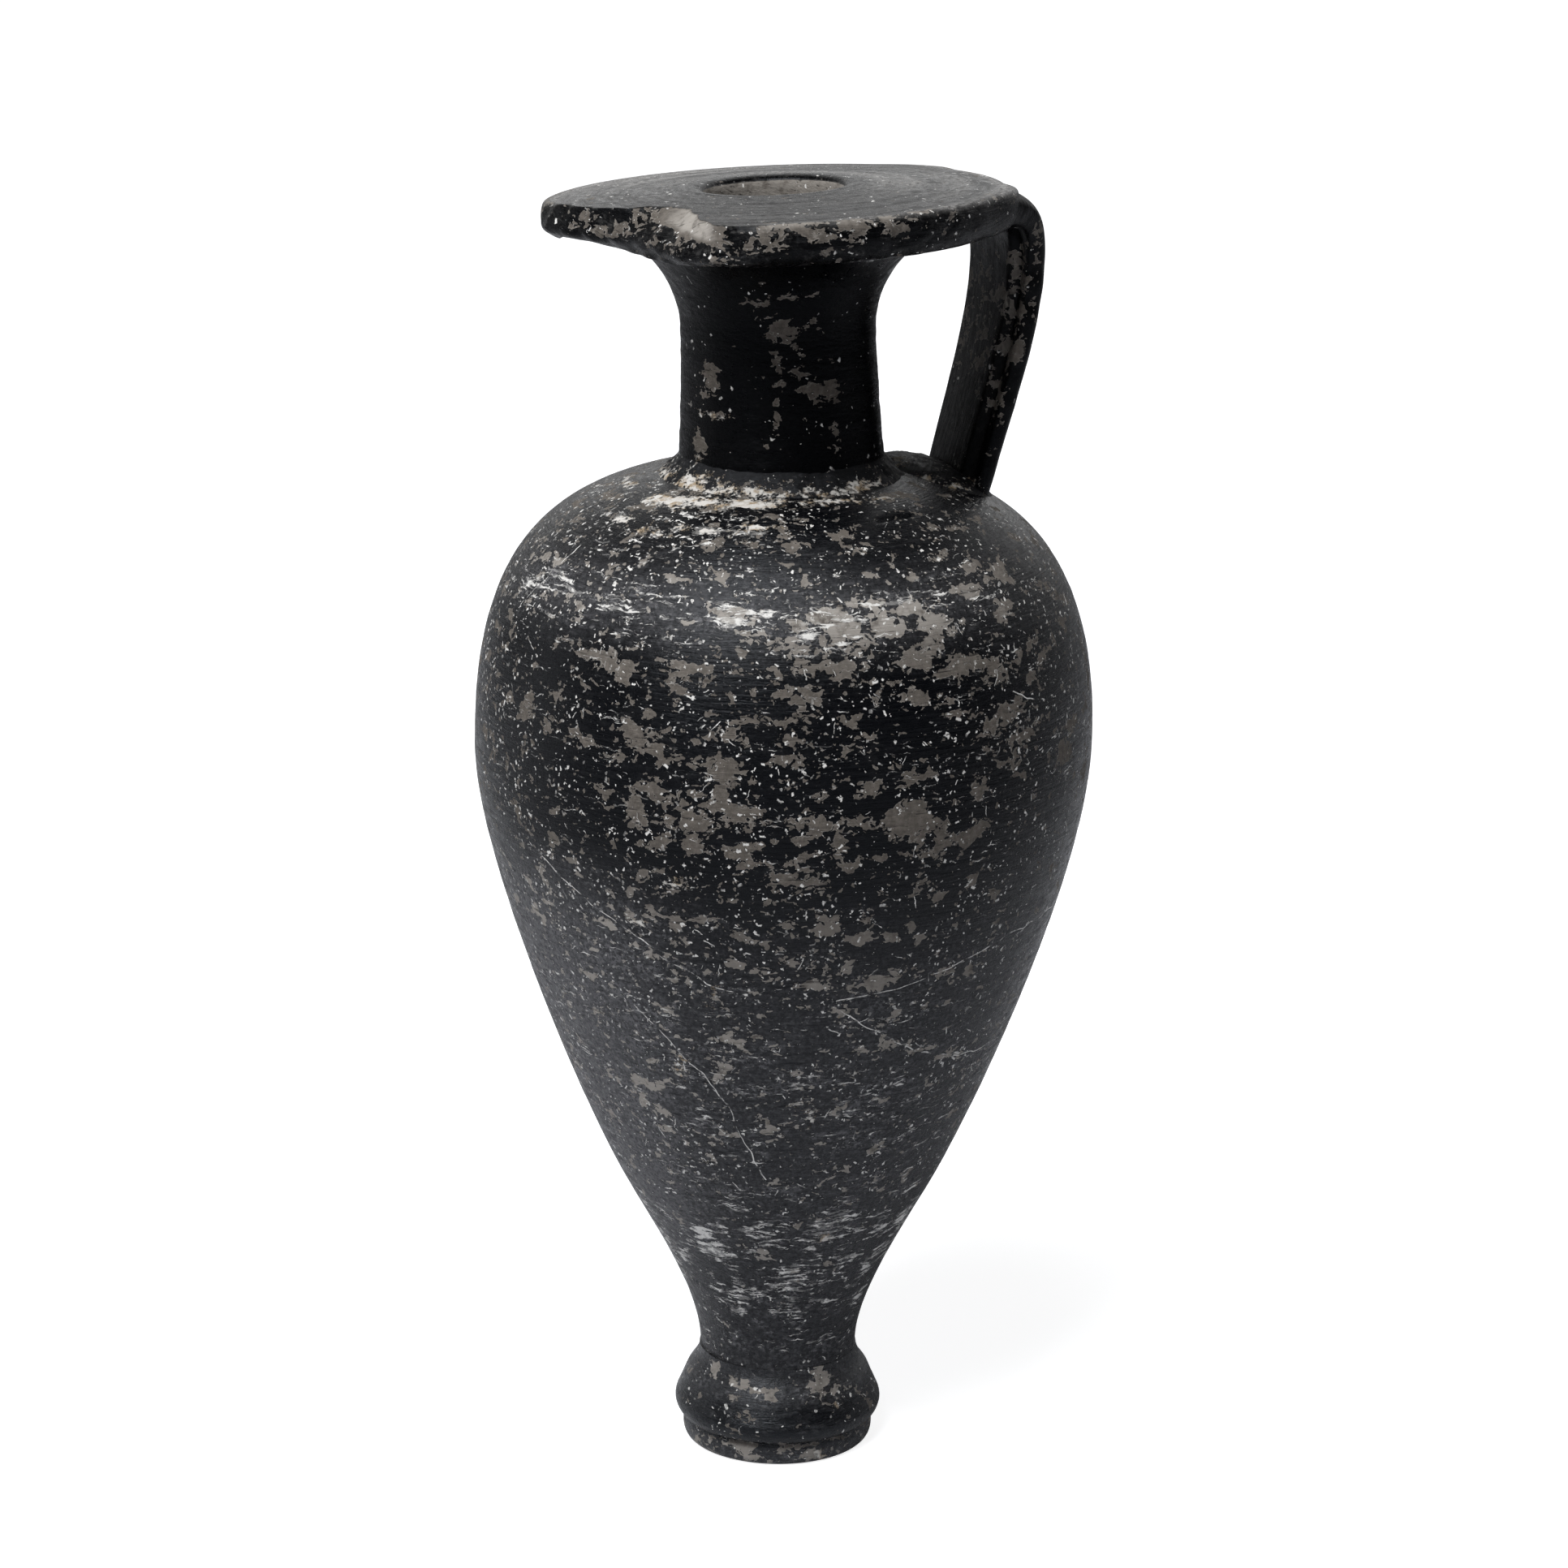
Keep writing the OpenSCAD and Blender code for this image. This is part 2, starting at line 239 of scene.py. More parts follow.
def new_effect(name, given, made):
    """A node group: what it is given, with usual values, and the masks that it puts out."""
    group = bpy.data.node_groups.new(name, "ShaderNodeTree")
    for label, kind, usual in given:
        socket = group.interface.new_socket(name=label, in_out="INPUT", socket_type="NodeSocket" + kind)
        if usual is not None:
            socket.default_value = usual
    for label in made:
        group.interface.new_socket(name=label, in_out="OUTPUT", socket_type="NodeSocketFloat")
    return group, group.nodes.new("NodeGroupInput").outputs, group.nodes.new("NodeGroupOutput").inputs


def effect(tree, group, **values):
    """Places an effect in a material, and returns its outputs."""
    made = tree.nodes.new("ShaderNodeGroup")
    made.node_tree = group
    for name, value in values.items():
        feed(tree, made.inputs[name], value)
    return made.outputs


# Chipped slip: where the black coat has flaked off and the clay shows. The marks are in mm inside
# a flake. Wear strews more flakes, large and small, and pale specks among them. The flakes are
# longer along the wheel's direction than up and down.
chipped_slip, given, made = new_effect(
    "chipped slip",
    [("Place", "Vector", None), ("Marks", "Float", -3), ("Wear", "Float", 0.3)],
    ["Bare", "Edge", "Specks"],
)
tree = chipped_slip
swirl = vectors(tree, "SUBTRACT", clouds(tree, given["Place"], 0.45, 3, 0.6, "Color"), (0.5, 0.5, 0.5))
moved = vectors(tree, "ADD", given["Place"], scaled(tree, swirl, 1.8))
moved = vectors(tree, "MULTIPLY", moved, (1, 1, 1.5))


def above(tree, value, level, steep):
    """How far a value is above a level, made steeper."""
    return times(tree, maths(tree, "SUBTRACT", value, level), steep)


def falling(tree, level, by, share):
    """A level that falls as a share grows."""
    return maths(tree, "SUBTRACT", level, times(tree, share, by))


coarse = above(tree, clouds(tree, moved, 0.4, 3, 0.55), 0.52, 3.8)
sharp = above(tree, clouds(tree, moved, 1.2, 2, 0.5), 0.52, 2.6)
marked = plus(tree, given["Marks"], coarse, sharp)
wide = clouds(tree, vectors(tree, "ADD", moved, (31, 7, 3)), 0.36, 4, 0.56)
wide = above(tree, wide, falling(tree, 0.76, 0.165, given["Wear"]), 11)
small = clouds(tree, vectors(tree, "ADD", moved, (5, 41, 13)), 0.85, 2, 0.5)
small = above(tree, small, falling(tree, 0.77, 0.12, given["Wear"]), 6)
depth = maths(tree, "MAXIMUM", marked, maths(tree, "MAXIMUM", wide, small))
feed(tree, made["Bare"], ease(tree, depth, -0.03, 0.05))
outer, inner = ease(tree, depth, -0.02, 0.05), ease(tree, depth, 0.28, 0.08)
feed(tree, made["Edge"], times(tree, outer, inner))
dots = clouds(tree, vectors(tree, "ADD", given["Place"], (17, 3, 29)), 1.6, 2, 0.55)
dots = maths(tree, "SUBTRACT", dots, falling(tree, 0.745, 0.085, given["Wear"]))
feed(tree, made["Specks"], ease(tree, dots, 0, 0.015))

# Fine nicks: short strokes and dots that lie in the surface, each in its own direction.
fine_nicks, given, made = new_effect(
    "fine nicks",
    [("Place", "Vector", None), ("Cell", "Float", 1.5), ("Length", "Float", 0.4), ("Width", "Float", 0.1),
     ("Share", "Float", 0.4)],
    ["Nick"],
)
tree = fine_nicks
shaken = vectors(tree, "SUBTRACT", clouds(tree, given["Place"], 1.6, 2, 0.5, "Color"), (0.5, 0.5, 0.5))
here = vectors(tree, "ADD", given["Place"], scaled(tree, shaken, 0.5))
cells = tree.nodes.new("ShaderNodeTexVoronoi")
feed(tree, cells.inputs["Vector"], here)
feed(tree, cells.inputs["Scale"], maths(tree, "DIVIDE", 1, given["Cell"]))
off = vectors(tree, "SUBTRACT", here, cells.outputs["Position"])
square = tree.nodes.new("ShaderNodeNewGeometry").outputs["Normal"]
flat = vectors(tree, "SUBTRACT", off, scaled(tree, square, vectors(tree, "DOT_PRODUCT", off, square)))
dice = tree.nodes.new("ShaderNodeTexWhiteNoise")
feed(tree, dice.inputs["Vector"], cells.outputs["Position"])
throw = tree.nodes.new("ShaderNodeSeparateColor")
feed(tree, throw.inputs["Color"], dice.outputs["Color"])
aim = vectors(tree, "SUBTRACT", cells.outputs["Color"], (0.5, 0.5, 0.5))
way = vectors(tree, "NORMALIZE", vectors(tree, "CROSS_PRODUCT", square, aim))
along = vectors(tree, "DOT_PRODUCT", flat, way)
across = vectors(tree, "LENGTH", vectors(tree, "SUBTRACT", flat, scaled(tree, way, along)))
mostly_short = maths(tree, "POWER", throw.outputs[1], 2.5)
long = times(tree, given["Length"], plus(tree, 0.25, mostly_short))
wide = times(tree, given["Width"], plus(tree, 0.4, times(tree, throw.outputs[2], 0.8)))
ends = ease(tree, maths(tree, "DIVIDE", maths(tree, "ABSOLUTE", along), long), 1, 0.7)
sides = ease(tree, maths(tree, "DIVIDE", across, wide), 1, 0.5)
drawn = maths(tree, "LESS_THAN", dice.outputs["Value"], given["Share"])
feed(tree, made["Nick"], times(tree, ends, sides, drawn))

# Wheel streaks: broad and fine bands that run round the axis, from throwing and burnishing.
wheel_streaks, given, made = new_effect("wheel streaks", [("Place", "Vector", None)], ["Broad", "Fine"])
tree = wheel_streaks
apart = tree.nodes.new("ShaderNodeSeparateXYZ")
feed(tree, apart.inputs[0], given["Place"])
level_place = vectors(tree, "MULTIPLY", given["Place"], (1, 1, 0))
radius = vectors(tree, "LENGTH", level_place)
around = vectors(tree, "NORMALIZE", level_place)
run = maths(tree, "SUBTRACT", apart.outputs[2], times(tree, radius, 0.8))
upright = tree.nodes.new("ShaderNodeCombineXYZ")
feed(tree, upright.inputs[2], run)
broad_place = vectors(tree, "ADD", scaled(tree, around, 3.5), scaled(tree, upright.outputs[0], 0.45))
fine_place = vectors(tree, "ADD", scaled(tree, around, 7), scaled(tree, upright.outputs[0], 2.4))
feed(tree, made["Broad"], clouds(tree, broad_place, 1, 5, 0.6))
feed(tree, made["Fine"], clouds(tree, fine_place, 1, 5, 0.65))

# Scuffs: thin pale smears drawn out along the wheel's direction.
scuffed, given, made = new_effect("scuffs", [("Place", "Vector", None), ("Amount", "Float", 0)], ["Scuff"])
tree = scuffed
swirl = vectors(tree, "SUBTRACT", clouds(tree, given["Place"], 0.4, 3, 0.6, "Color"), (0.5, 0.5, 0.5))
bent = vectors(tree, "ADD", given["Place"], scaled(tree, swirl, 1.4))
drawn_out = vectors(tree, "MULTIPLY", bent, (0.34, 0.34, 2.6))
smears = clouds(tree, drawn_out, 1, 6, 0.68)
smears = maths(tree, "SUBTRACT", smears, falling(tree, 0.72, 0.2, given["Amount"]))
some = ease(tree, given["Amount"], 0, 0.15)
feed(tree, made["Scuff"], times(tree, ease(tree, smears, 0, 0.05), some))

# A long scratch: one thin line on the surface from one place to another.
long_scratch, given, made = new_effect(
    "long scratch", [("Place", "Vector", None), ("From", "Vector", None), ("To", "Vector", None)], ["Line"])
tree = long_scratch
sway = vectors(tree, "SUBTRACT", clouds(tree, given["Place"], 0.25, 2, 0.5, "Color"), (0.5, 0.5, 0.5))
here = vectors(tree, "ADD", given["Place"], scaled(tree, sway, 1.6))
course = vectors(tree, "SUBTRACT", given["To"], given["From"])
outward = vectors(tree, "MULTIPLY", vectors(tree, "ADD", given["From"], given["To"]), (1, 1, 0))
aside = vectors(tree, "NORMALIZE", vectors(tree, "CROSS_PRODUCT", course, outward))
off = vectors(tree, "SUBTRACT", here, given["From"])
gap = maths(tree, "ABSOLUTE", vectors(tree, "DOT_PRODUCT", off, aside))
length_squared = vectors(tree, "DOT_PRODUCT", course, course)
along = maths(tree, "DIVIDE", vectors(tree, "DOT_PRODUCT", off, course), length_squared)
within = maths(tree, "LESS_THAN", maths(tree, "ABSOLUTE", maths(tree, "SUBTRACT", along, 0.5)), 0.5)
near = maths(tree, "GREATER_THAN", vectors(tree, "DOT_PRODUCT", given["Place"], outward), 0)
thin = ease(tree, gap, 0.09, 0.03)
broken_up = ease(tree, clouds(tree, given["Place"], 0.6, 4, 0.6), 0.4, 0.5)
feed(tree, made["Line"], times(tree, thin, broken_up, within, near))

# Pulled streaks: broad and fine bands that run up and down, from wet fingers along a strap.
pulled_streaks, given, made = new_effect("pulled streaks", [("Place", "Vector", None)], ["Broad", "Fine"])
tree = pulled_streaks
broad_place = vectors(tree, "MULTIPLY", given["Place"], (0.5, 0.5, 0.07))
fine_place = vectors(tree, "MULTIPLY", given["Place"], (1.6, 1.6, 0.16))
feed(tree, made["Broad"], clouds(tree, broad_place, 1, 5, 0.6))
feed(tree, made["Fine"], clouds(tree, fine_place, 1, 5, 0.65))

# Clinging earth: pale crumbs and films of soil in the hollows, from white to tan.
clinging_earth, given, made = new_effect(
    "clinging earth", [("Place", "Vector", None), ("Marks", "Float", -3)], ["Earth", "Tan"])
tree = clinging_earth
flattened = vectors(tree, "MULTIPLY", given["Place"], (1, 1, 2.2))
lumps = above(tree, clouds(tree, flattened, 0.5, 6, 0.7), 0.5, 5)
crumbs = above(tree, clouds(tree, given["Place"], 2.2, 4, 0.6), 0.5, 3)
depth = plus(tree, given["Marks"], lumps, crumbs)
feed(tree, made["Earth"], ease(tree, depth, -0.05, 0.5))
feed(tree, made["Tan"], ease(tree, clouds(tree, given["Place"], 0.7, 4, 0.6), 0.45, 0.62))


def in_mm(tree):
    """The place on the flask in mm, in the flask's own frame."""
    return scaled(tree, tree.nodes.new("ShaderNodeTexCoord").outputs["Object"], 1000)


def painted(tree, name):
    """A number painted on the vertices."""
    made = tree.nodes.new("ShaderNodeAttribute")
    made.attribute_name = name
    return made.outputs["Fac"]


bare_clay = (0.125, 0.111, 0.097)
pale_clay = (0.32, 0.30, 0.275)
pale_nick = (0.72, 0.71, 0.69)
dust_and_sheen_grey = (0.125, 0.125, 0.132)
white_earth = (0.60, 0.58, 0.55)
tan_earth = (0.33, 0.26, 0.18)


def scale_colour(colour, by):
    """A colour made darker or lighter."""
    return tuple(c * by for c in colour)


def slipped_clay(name, slip, dust, wear, nicks, rough, shine, streaks=wheel_streaks,
                 dust_and_sheen_colour=dust_and_sheen_grey, scratches=()):
    """Black slip over grey-brown clay, burnished, flaked, nicked and soiled as its marks say; its dust
    layer also carries painted sheen and painted light.
    """
    material = bpy.data.materials.new(name)
    material.use_nodes = True
    tree = material.node_tree
    place = in_mm(tree)
    worn_here = painted(tree, "wear")
    dust_and_sheen_here = painted(tree, "dust_and_painted_sheen")
    bands = effect(tree, streaks, Place=place)

    # Where slip has come off, and the pale marks in it. Both gather in groups.
    grouped = ease(tree, clouds(tree, place, 0.17, 4, 0.62), 0.4, 0.6)
    worn = plus(tree, wear - 0.18, worn_here, times(tree, grouped, 0.28))
    chips = effect(tree, chipped_slip, Place=place, Marks=painted(tree, "flake"), Wear=worn)
    share = times(tree, plus(tree, nicks, times(tree, worn_here, 0.5)), grouped)
    specks = effect(tree, fine_nicks, Place=place, Cell=1.25, Length=0.34, Width=0.2, Share=share)
    share = plus(tree, nicks * 0.8, times(tree, worn_here, 0.3))
    strokes = effect(tree, fine_nicks, Place=place, Cell=3.4, Length=0.8, Width=0.07, Share=share)
    amount = times(tree, painted(tree, "scuff"), ease(tree, bands["Broad"], 0.38, 0.6, 0.35, 1.35))
    smears = effect(tree, scuffed, Place=place, Amount=amount)
    earth = effect(tree, clinging_earth, Place=place, Marks=painted(tree, "earth"))

    # The slip: a thin film of dust, and more where the streaks' crests are rubbed dull. The dust layer also
    # lays painted sheen and painted reflection over the slip in its dust colour.
    mottle = clouds(tree, place, 0.8, 5, 0.6)
    crest = plus(tree, times(tree, bands["Fine"], 0.55), times(tree, bands["Broad"], 0.45))
    dull = times(tree, ease(tree, crest, 0.46, 0.62), ease(tree, mottle, 0.36, 0.64))
    rubbed_and_sheen = plus(tree, times(tree, dull, plus(tree, dust, dust_and_sheen_here)), times(tree, dust_and_sheen_here, 0.22))
    rubbed_and_sheen = maths(tree, "MINIMUM", rubbed_and_sheen, 1)
    deep = ease(tree, clouds(tree, place, 1.9, 5, 0.72), 0.42, 0.6)
    dust_film_and_sheen = plus(tree, times(tree, rubbed_and_sheen, deep), times(tree, dust_and_sheen_here, 0.17))
    coat = tint(tree, dust_film_and_sheen, scale_colour(slip, 0.8), dust_and_sheen_colour)

    # The bare clay: grainy, peppered with slip, and paler under dust and where the dust layer paints in
    # light, as in the bore and on the break's scar.
    grain = ease(tree, clouds(tree, place, 1.4, 5, 0.7), 0.35, 0.7)
    clay = tint(tree, grain, scale_colour(bare_clay, 0.72), scale_colour(bare_clay, 1.15))
    pepper = ease(tree, clouds(tree, place, 5, 3, 0.7), 0.62, 0.7)
    clay = tint(tree, times(tree, pepper, 0.6), clay, slip)
    clay = tint(tree, times(tree, dust_and_sheen_here, ease(tree, mottle, 0.25, 0.55)), clay, pale_clay)

    # One over the other: clay and slip, black grooves, pale edges, pale marks, earth.
    colour = tint(tree, chips["Bare"], coat, clay)
    groove = ease(tree, bands["Fine"], 0.41, 0.33, 0, 0.7)
    colour = tint(tree, groove, colour, slip)
    pale_edge = times(tree, chips["Edge"], ease(tree, mottle, 0.4, 0.62, 0, 0.5))
    colour = tint(tree, pale_edge, colour, pale_clay)
    marks = maths(tree, "MAXIMUM", specks["Nick"], strokes["Nick"])
    marks = maths(tree, "MAXIMUM", marks, maths(tree, "MAXIMUM", chips["Specks"], smears["Scuff"]))
    for start, end in scratches:
        line_mark = effect(tree, long_scratch, Place=place, From=start, To=end)["Line"]
        marks = maths(tree, "MAXIMUM", marks, line_mark)
    faint = ease(tree, clouds(tree, place, 0.6, 5, 0.65), 0.42, 0.58, 0.22, 1.1)
    colour = tint(tree, times(tree, marks, faint), colour, pale_nick)
    soil = tint(tree, earth["Tan"], white_earth, tan_earth)
    colour = tint(tree, earth["Earth"], colour, soil)

    # Satin on the slip, matt on the clay and the earth. Flakes and marks are a little sunk.
    face = tree.nodes["Principled BSDF"]
    face.inputs["Specular IOR Level"].default_value = shine
    face.inputs["Specular Tint"].default_value = (0.88, 0.93, 1, 1)
    feed(tree, face.inputs["Base Color"], colour)
    gloss = plus(tree, rough, times(tree, rubbed_and_sheen, 0.25), above(tree, bands["Fine"], 0.5, 0.6))
    gloss = plus(tree, gloss, above(tree, mottle, 0.5, 0.5))
    gloss = maths(tree, "MAXIMUM", gloss, times(tree, chips["Bare"], 0.75))
    gloss = maths(tree, "MAXIMUM", gloss, times(tree, earth["Earth"], 0.92))
    feed(tree, face.inputs["Roughness"], gloss)
    sunk = plus(tree, times(tree, chips["Bare"], -0.06), times(tree, marks, -0.03))
    raised = plus(tree, times(tree, bands["Fine"], 0.15), times(tree, earth["Earth"], 0.16))
    relief = plus(tree, sunk, raised, times(tree, clouds(tree, place, 2.5, 4, 0.7), 0.06))
    bump = tree.nodes.new("ShaderNodeBump")
    bump.inputs["Strength"].default_value = 1
    bump.inputs["Distance"].default_value = MM
    feed(tree, bump.inputs["Height"], relief)
    feed(tree, face.inputs["Normal"], bump.outputs["Normal"])
    return material


def oval(outline, turn, height, half_w, half_h, lean):
    """An oval on a thrown shape: its middle, and half of each of its two widths."""
    near = min(range(1, len(outline) - 1), key=lambda i: abs(outline[i].y - height))
    r, way = outline[near].x, (outline[near + 1] - outline[near - 1]).normalized()
    a, tip = math.radians(turn), math.radians(lean)
    middle = Vector((r * math.cos(a), r * math.sin(a), outline[near].y))
    side = Vector((-math.sin(a), math.cos(a), 0))
    up = Vector((way.x * math.cos(a), way.x * math.sin(a), way.y))
    side, up = side * math.cos(tip) + up * math.sin(tip), up * math.cos(tip) - side * math.sin(tip)
    return middle, side * half_w, up * half_h


def paint(shape, name, ovals, usual=-3.0):
    """Paints the vertices with how far, in mm, they are inside the nearest oval."""
    layer = shape.verts.layers.float.new(name)
    points = [v.co / MM for v in shape.verts]
    best = [usual] * len(points)
    for middle, side, up in ovals:
        half_w, half_h = side.length, up.length
        side, up = side / half_w ** 2, up / half_h ** 2
        reach, least = max(half_w, half_h) * 3 + 3, min(half_w, half_h)
        for i, p in enumerate(points):
            off = p - middle
            if abs(off.x) > reach or abs(off.y) > reach or abs(off.z) > reach:
                continue
            best[i] = max(best[i], (1 - math.hypot(off.dot(side), off.dot(up))) * least)
    for v, value in zip(shape.verts, best):
        v[layer] = value


def mark(shape, name, outline, places):
    """Paints ovals given by their turn from the handle, height, half width, half height and lean."""
    paint(shape, name, [oval(outline, *place) for place in places])


ring_centre = Vector((ring_r - ring_round, ring_z))
moulding = [
    ring_centre + ring_round * Vector((math.cos(math.radians(a)), math.sin(math.radians(a))))
    for a in range(-62, 36, 7)
]
foot_outline = joined(
    line((0, 0), (foot_rest_r - 0.3, 0), 6),
    curve((foot_rest_r - 0.3, 0), (foot_rest_r + 0.3, 0),
          (foot_band_r - 0.2, 0.2), (foot_band_r - 0.05, 0.9), 6),
    curve((foot_band_r - 0.05, 0.9), (foot_band_r + 0.05, 1.6), (foot_band_r, 2.1), moulding[0], 6),
    moulding,
    curve(moulding[-1], (11.3, 7.5), (11.15, 8.2), (10.75, 8.8), 6),
    curve((10.75, 8.8), (10.1, 9.7), (stem_r, 10.5), (stem_r, foot_h), 8),
    line((stem_r, foot_h), (0, foot_h), 5),
)
foot = thrown(foot_outline, 192)
by_hand(foot, 0.12, 0.06, 3)
# The worn line above the band, then the flakes by turn from the handle, height, half width, half
# height and lean.
band_line = [(turn, 2.5, 6.0, 0.28, 0) for turn in (-150, -115, -80, -45, 0, 45, 90, 135, 180)]
foot_flakes = [
    (-78, 9.9, 1.8, 1.5, -25), (-74, 8.6, 1.6, 0.7, 0), (-60, 7.6, 1.4, 0.7, 0), (-110, 9.6, 1.3, 0.3, 8),
    (-133, 9.7, 2.2, 0.3, -12), (-115, 8.7, 0.8, 0.7, 0), (-160, 10.6, 0.9, 0.9, 0), (40, 9.4, 1.6, 0.9, 0),
    (120, 8.9, 1.8, 0.8, 0), (-87, 1.2, 2.2, 0.8, 0), (-68, 1.3, 1.6, 0.5, 0), (-125, 1.1, 1.5, 0.4, 0),
]
mark(foot, "flake", foot_outline, foot_flakes + band_line)
mark(foot, "earth", foot_outline, [(-84, 1.3, 0.6, 0.5, 0), (-72, 7.4, 0.3, 0.3, 0)])
foot_haze = foot.verts.layers.float.new("dust_and_painted_sheen")
for v in foot.verts:
    v[foot_haze] = 0.75 * smooth(2.6, 2.0, v.co.z / MM) + 0.6 * smooth(6.8, 8.6, v.co.z / MM)
foot_slip = slipped_clay(
    "foot_slip", (0.0024, 0.0027, 0.0037), dust=0.3, wear=0.55, nicks=0.25, rough=0.24, shine=0.34)
as_piece(foot, "foot_turned", "foot", foot_slip)

# The body.
# A thin-walled, pear-shaped shell of fired clay, thrown in one piece from the waist up to the
# neck's seat, and hollow down to a rounded well above the foot.
belly_h = 75.5
belly_r = 35.9
shoulder_h = 32.1
flank_r = 17.8
flank_h = 20.9
flank_lean = math.radians(61)
shoulder_fall = math.radians(8.5)
wall = 3.2
well_h = 5
neck_base_r = 11.8
bore_r = 7.8
bore_shift = 1.4

belly_z = foot_h + belly_h
neck_z = belly_z + shoulder_h
flank_point = Vector((flank_r, foot_h + flank_h))
flank_way = Vector((math.cos(flank_lean), math.sin(flank_lean)))
shoulder_way = Vector((math.cos(shoulder_fall), -math.sin(shoulder_fall)))
neck_point = Vector((neck_base_r, neck_z))
flank_up = belly_h - flank_h
waist_curve = curve(
    (stem_r, foot_h), (stem_r, foot_h + 0.27 * flank_h),
    flank_point - 0.45 * flank_h * flank_way, flank_point, 30)
belly_curve = curve(
    flank_point, flank_point + 0.21 * flank_up * flank_way,
    (belly_r, belly_z - 0.26 * flank_up), (belly_r, belly_z), 64)
shoulder_curve = curve(
    (belly_r, belly_z), (belly_r, belly_z + 0.72 * shoulder_h),
    neck_point + 0.66 * (belly_r - neck_base_r) * shoulder_way, neck_point, 64)
outside = joined(waist_curve, belly_curve, shoulder_curve)


def set_in(points, by):
    """The same outline, moved in square to itself."""
    moved = []
    for i, p in enumerate(points):
        way = (points[min(i + 1, len(points) - 1)] - points[max(i - 1, 0)]).normalized()
        moved.append(p + by * Vector((-way.y, way.x)))
    return moved


def pull_bore(shape, low):
    """Moves the bore's wall away from the handle, as the thrower left it."""
    for v in shape.verts:
        r = v.co.xy.length / MM
        if v.co.z > low * MM and r > 2:
            v.co.x -= bore_shift * (1 - smooth(bore_r + 0.4, neck_base_r - 0.4, r)) * MM


inside = set_in(outside[::4], wall)
inside = [p for p in inside if p.y > foot_h + well_h + wall and p.x > bore_r + 0.3]
well_z = foot_h + well_h
well = curve(inside[0], inside[0] - Vector((1.2, 2.2)), (inside[0].x * 0.5, well_z), (0, well_z), 8)
body_outline = joined(
    line((0, foot_h), (stem_r, foot_h), 5),
    outside,
    line(neck_point, (bore_r, neck_z), 4),
    line((bore_r, neck_z), (bore_r, inside[-1].y), 3),
    inside[::-1],
    well,
)
body = thrown(body_outline, 280)
by_hand(body, 0.12, 0.05, 11, 0.6)

# A slow swell on the right of the belly.
swell_by, swell_turn, swell_half, swell_z, swell_high = 0.55, -25, 21, 94, 10
for v in body.verts:
    off = (math.degrees(math.atan2(v.co.y, v.co.x)) - swell_turn) / swell_half
    if abs(off) < 1 and v.co.xy.length > 20 * MM:
        swell = swell_by * (1 - off * off) ** 2 * math.exp(-((v.co.z / MM - swell_z) / swell_high) ** 2)
        v.co += v.co.normalized() * swell * MM
pull_bore(body, neck_z - 5)

# A gash on the right of the shoulder, cut while the clay was soft, with a lip pushed up below it.
gash = Vector((5.9, -19.6, 117.2))
gash_run = Vector((0.93, -0.31, -0.2)).normalized()
gash_side = Vector((0.28, -0.88, -0.38)).normalized()
gash_half, gash_deep, lip_up = 2.3, 0.9, 0.3
for v in body.verts:
    off = v.co / MM - gash
    if off.length < 4:
        along, below = off.dot(gash_run), off.dot(gash_side)
        share = max(0, 1 - (along / gash_half) ** 2)
        v.co.z -= gash_deep * share * math.exp(-((below + 0.15) / 0.42) ** 2) * MM
        v.co.z += lip_up * share * math.exp(-((below - 0.75) / 0.35) ** 2) * MM

# The larger flakes, each by its turn from the handle, height, half width, half height and lean.
flakes_left = [
    (-149, 103.4, 1.9, 0.6, 8), (-142, 102.9, 2.7, 1.3, -15), (-132, 101.9, 1.9, 0.9, -15),
    (-137, 95.9, 2.0, 1.6, 0), (-133, 94.9, 1.6, 0.7, -20), (-127, 94.4, 2.7, 0.3, -6),
    (-151, 95.4, 2.3, 1.0, -15), (-159, 94.4, 2.2, 0.4, 5), (-164, 95.9, 1.2, 1.9, -20),
    (-155, 98.4, 0.9, 1.4, -20), (-142, 92.9, 1.6, 0.6, 20), (-121, 109.4, 2.6, 1.1, -8),
    (-112, 106.9, 2.6, 0.6, -18), (-126, 103.9, 3.7, 0.9, -3), (-110, 103.4, 2.6, 0.7, 4),
    (-111, 101.4, 1.4, 0.8, 20), (-107, 100.9, 1.2, 0.8, 10), (-123, 97.9, 0.8, 1.2, -20),
    (-117, 98.4, 2.9, 0.6, -5), (-109, 98.4, 1.1, 0.8, 0), (-120, 96.4, 1.9, 0.6, -10),
    (-120, 93.4, 1.8, 1.4, 0),
]
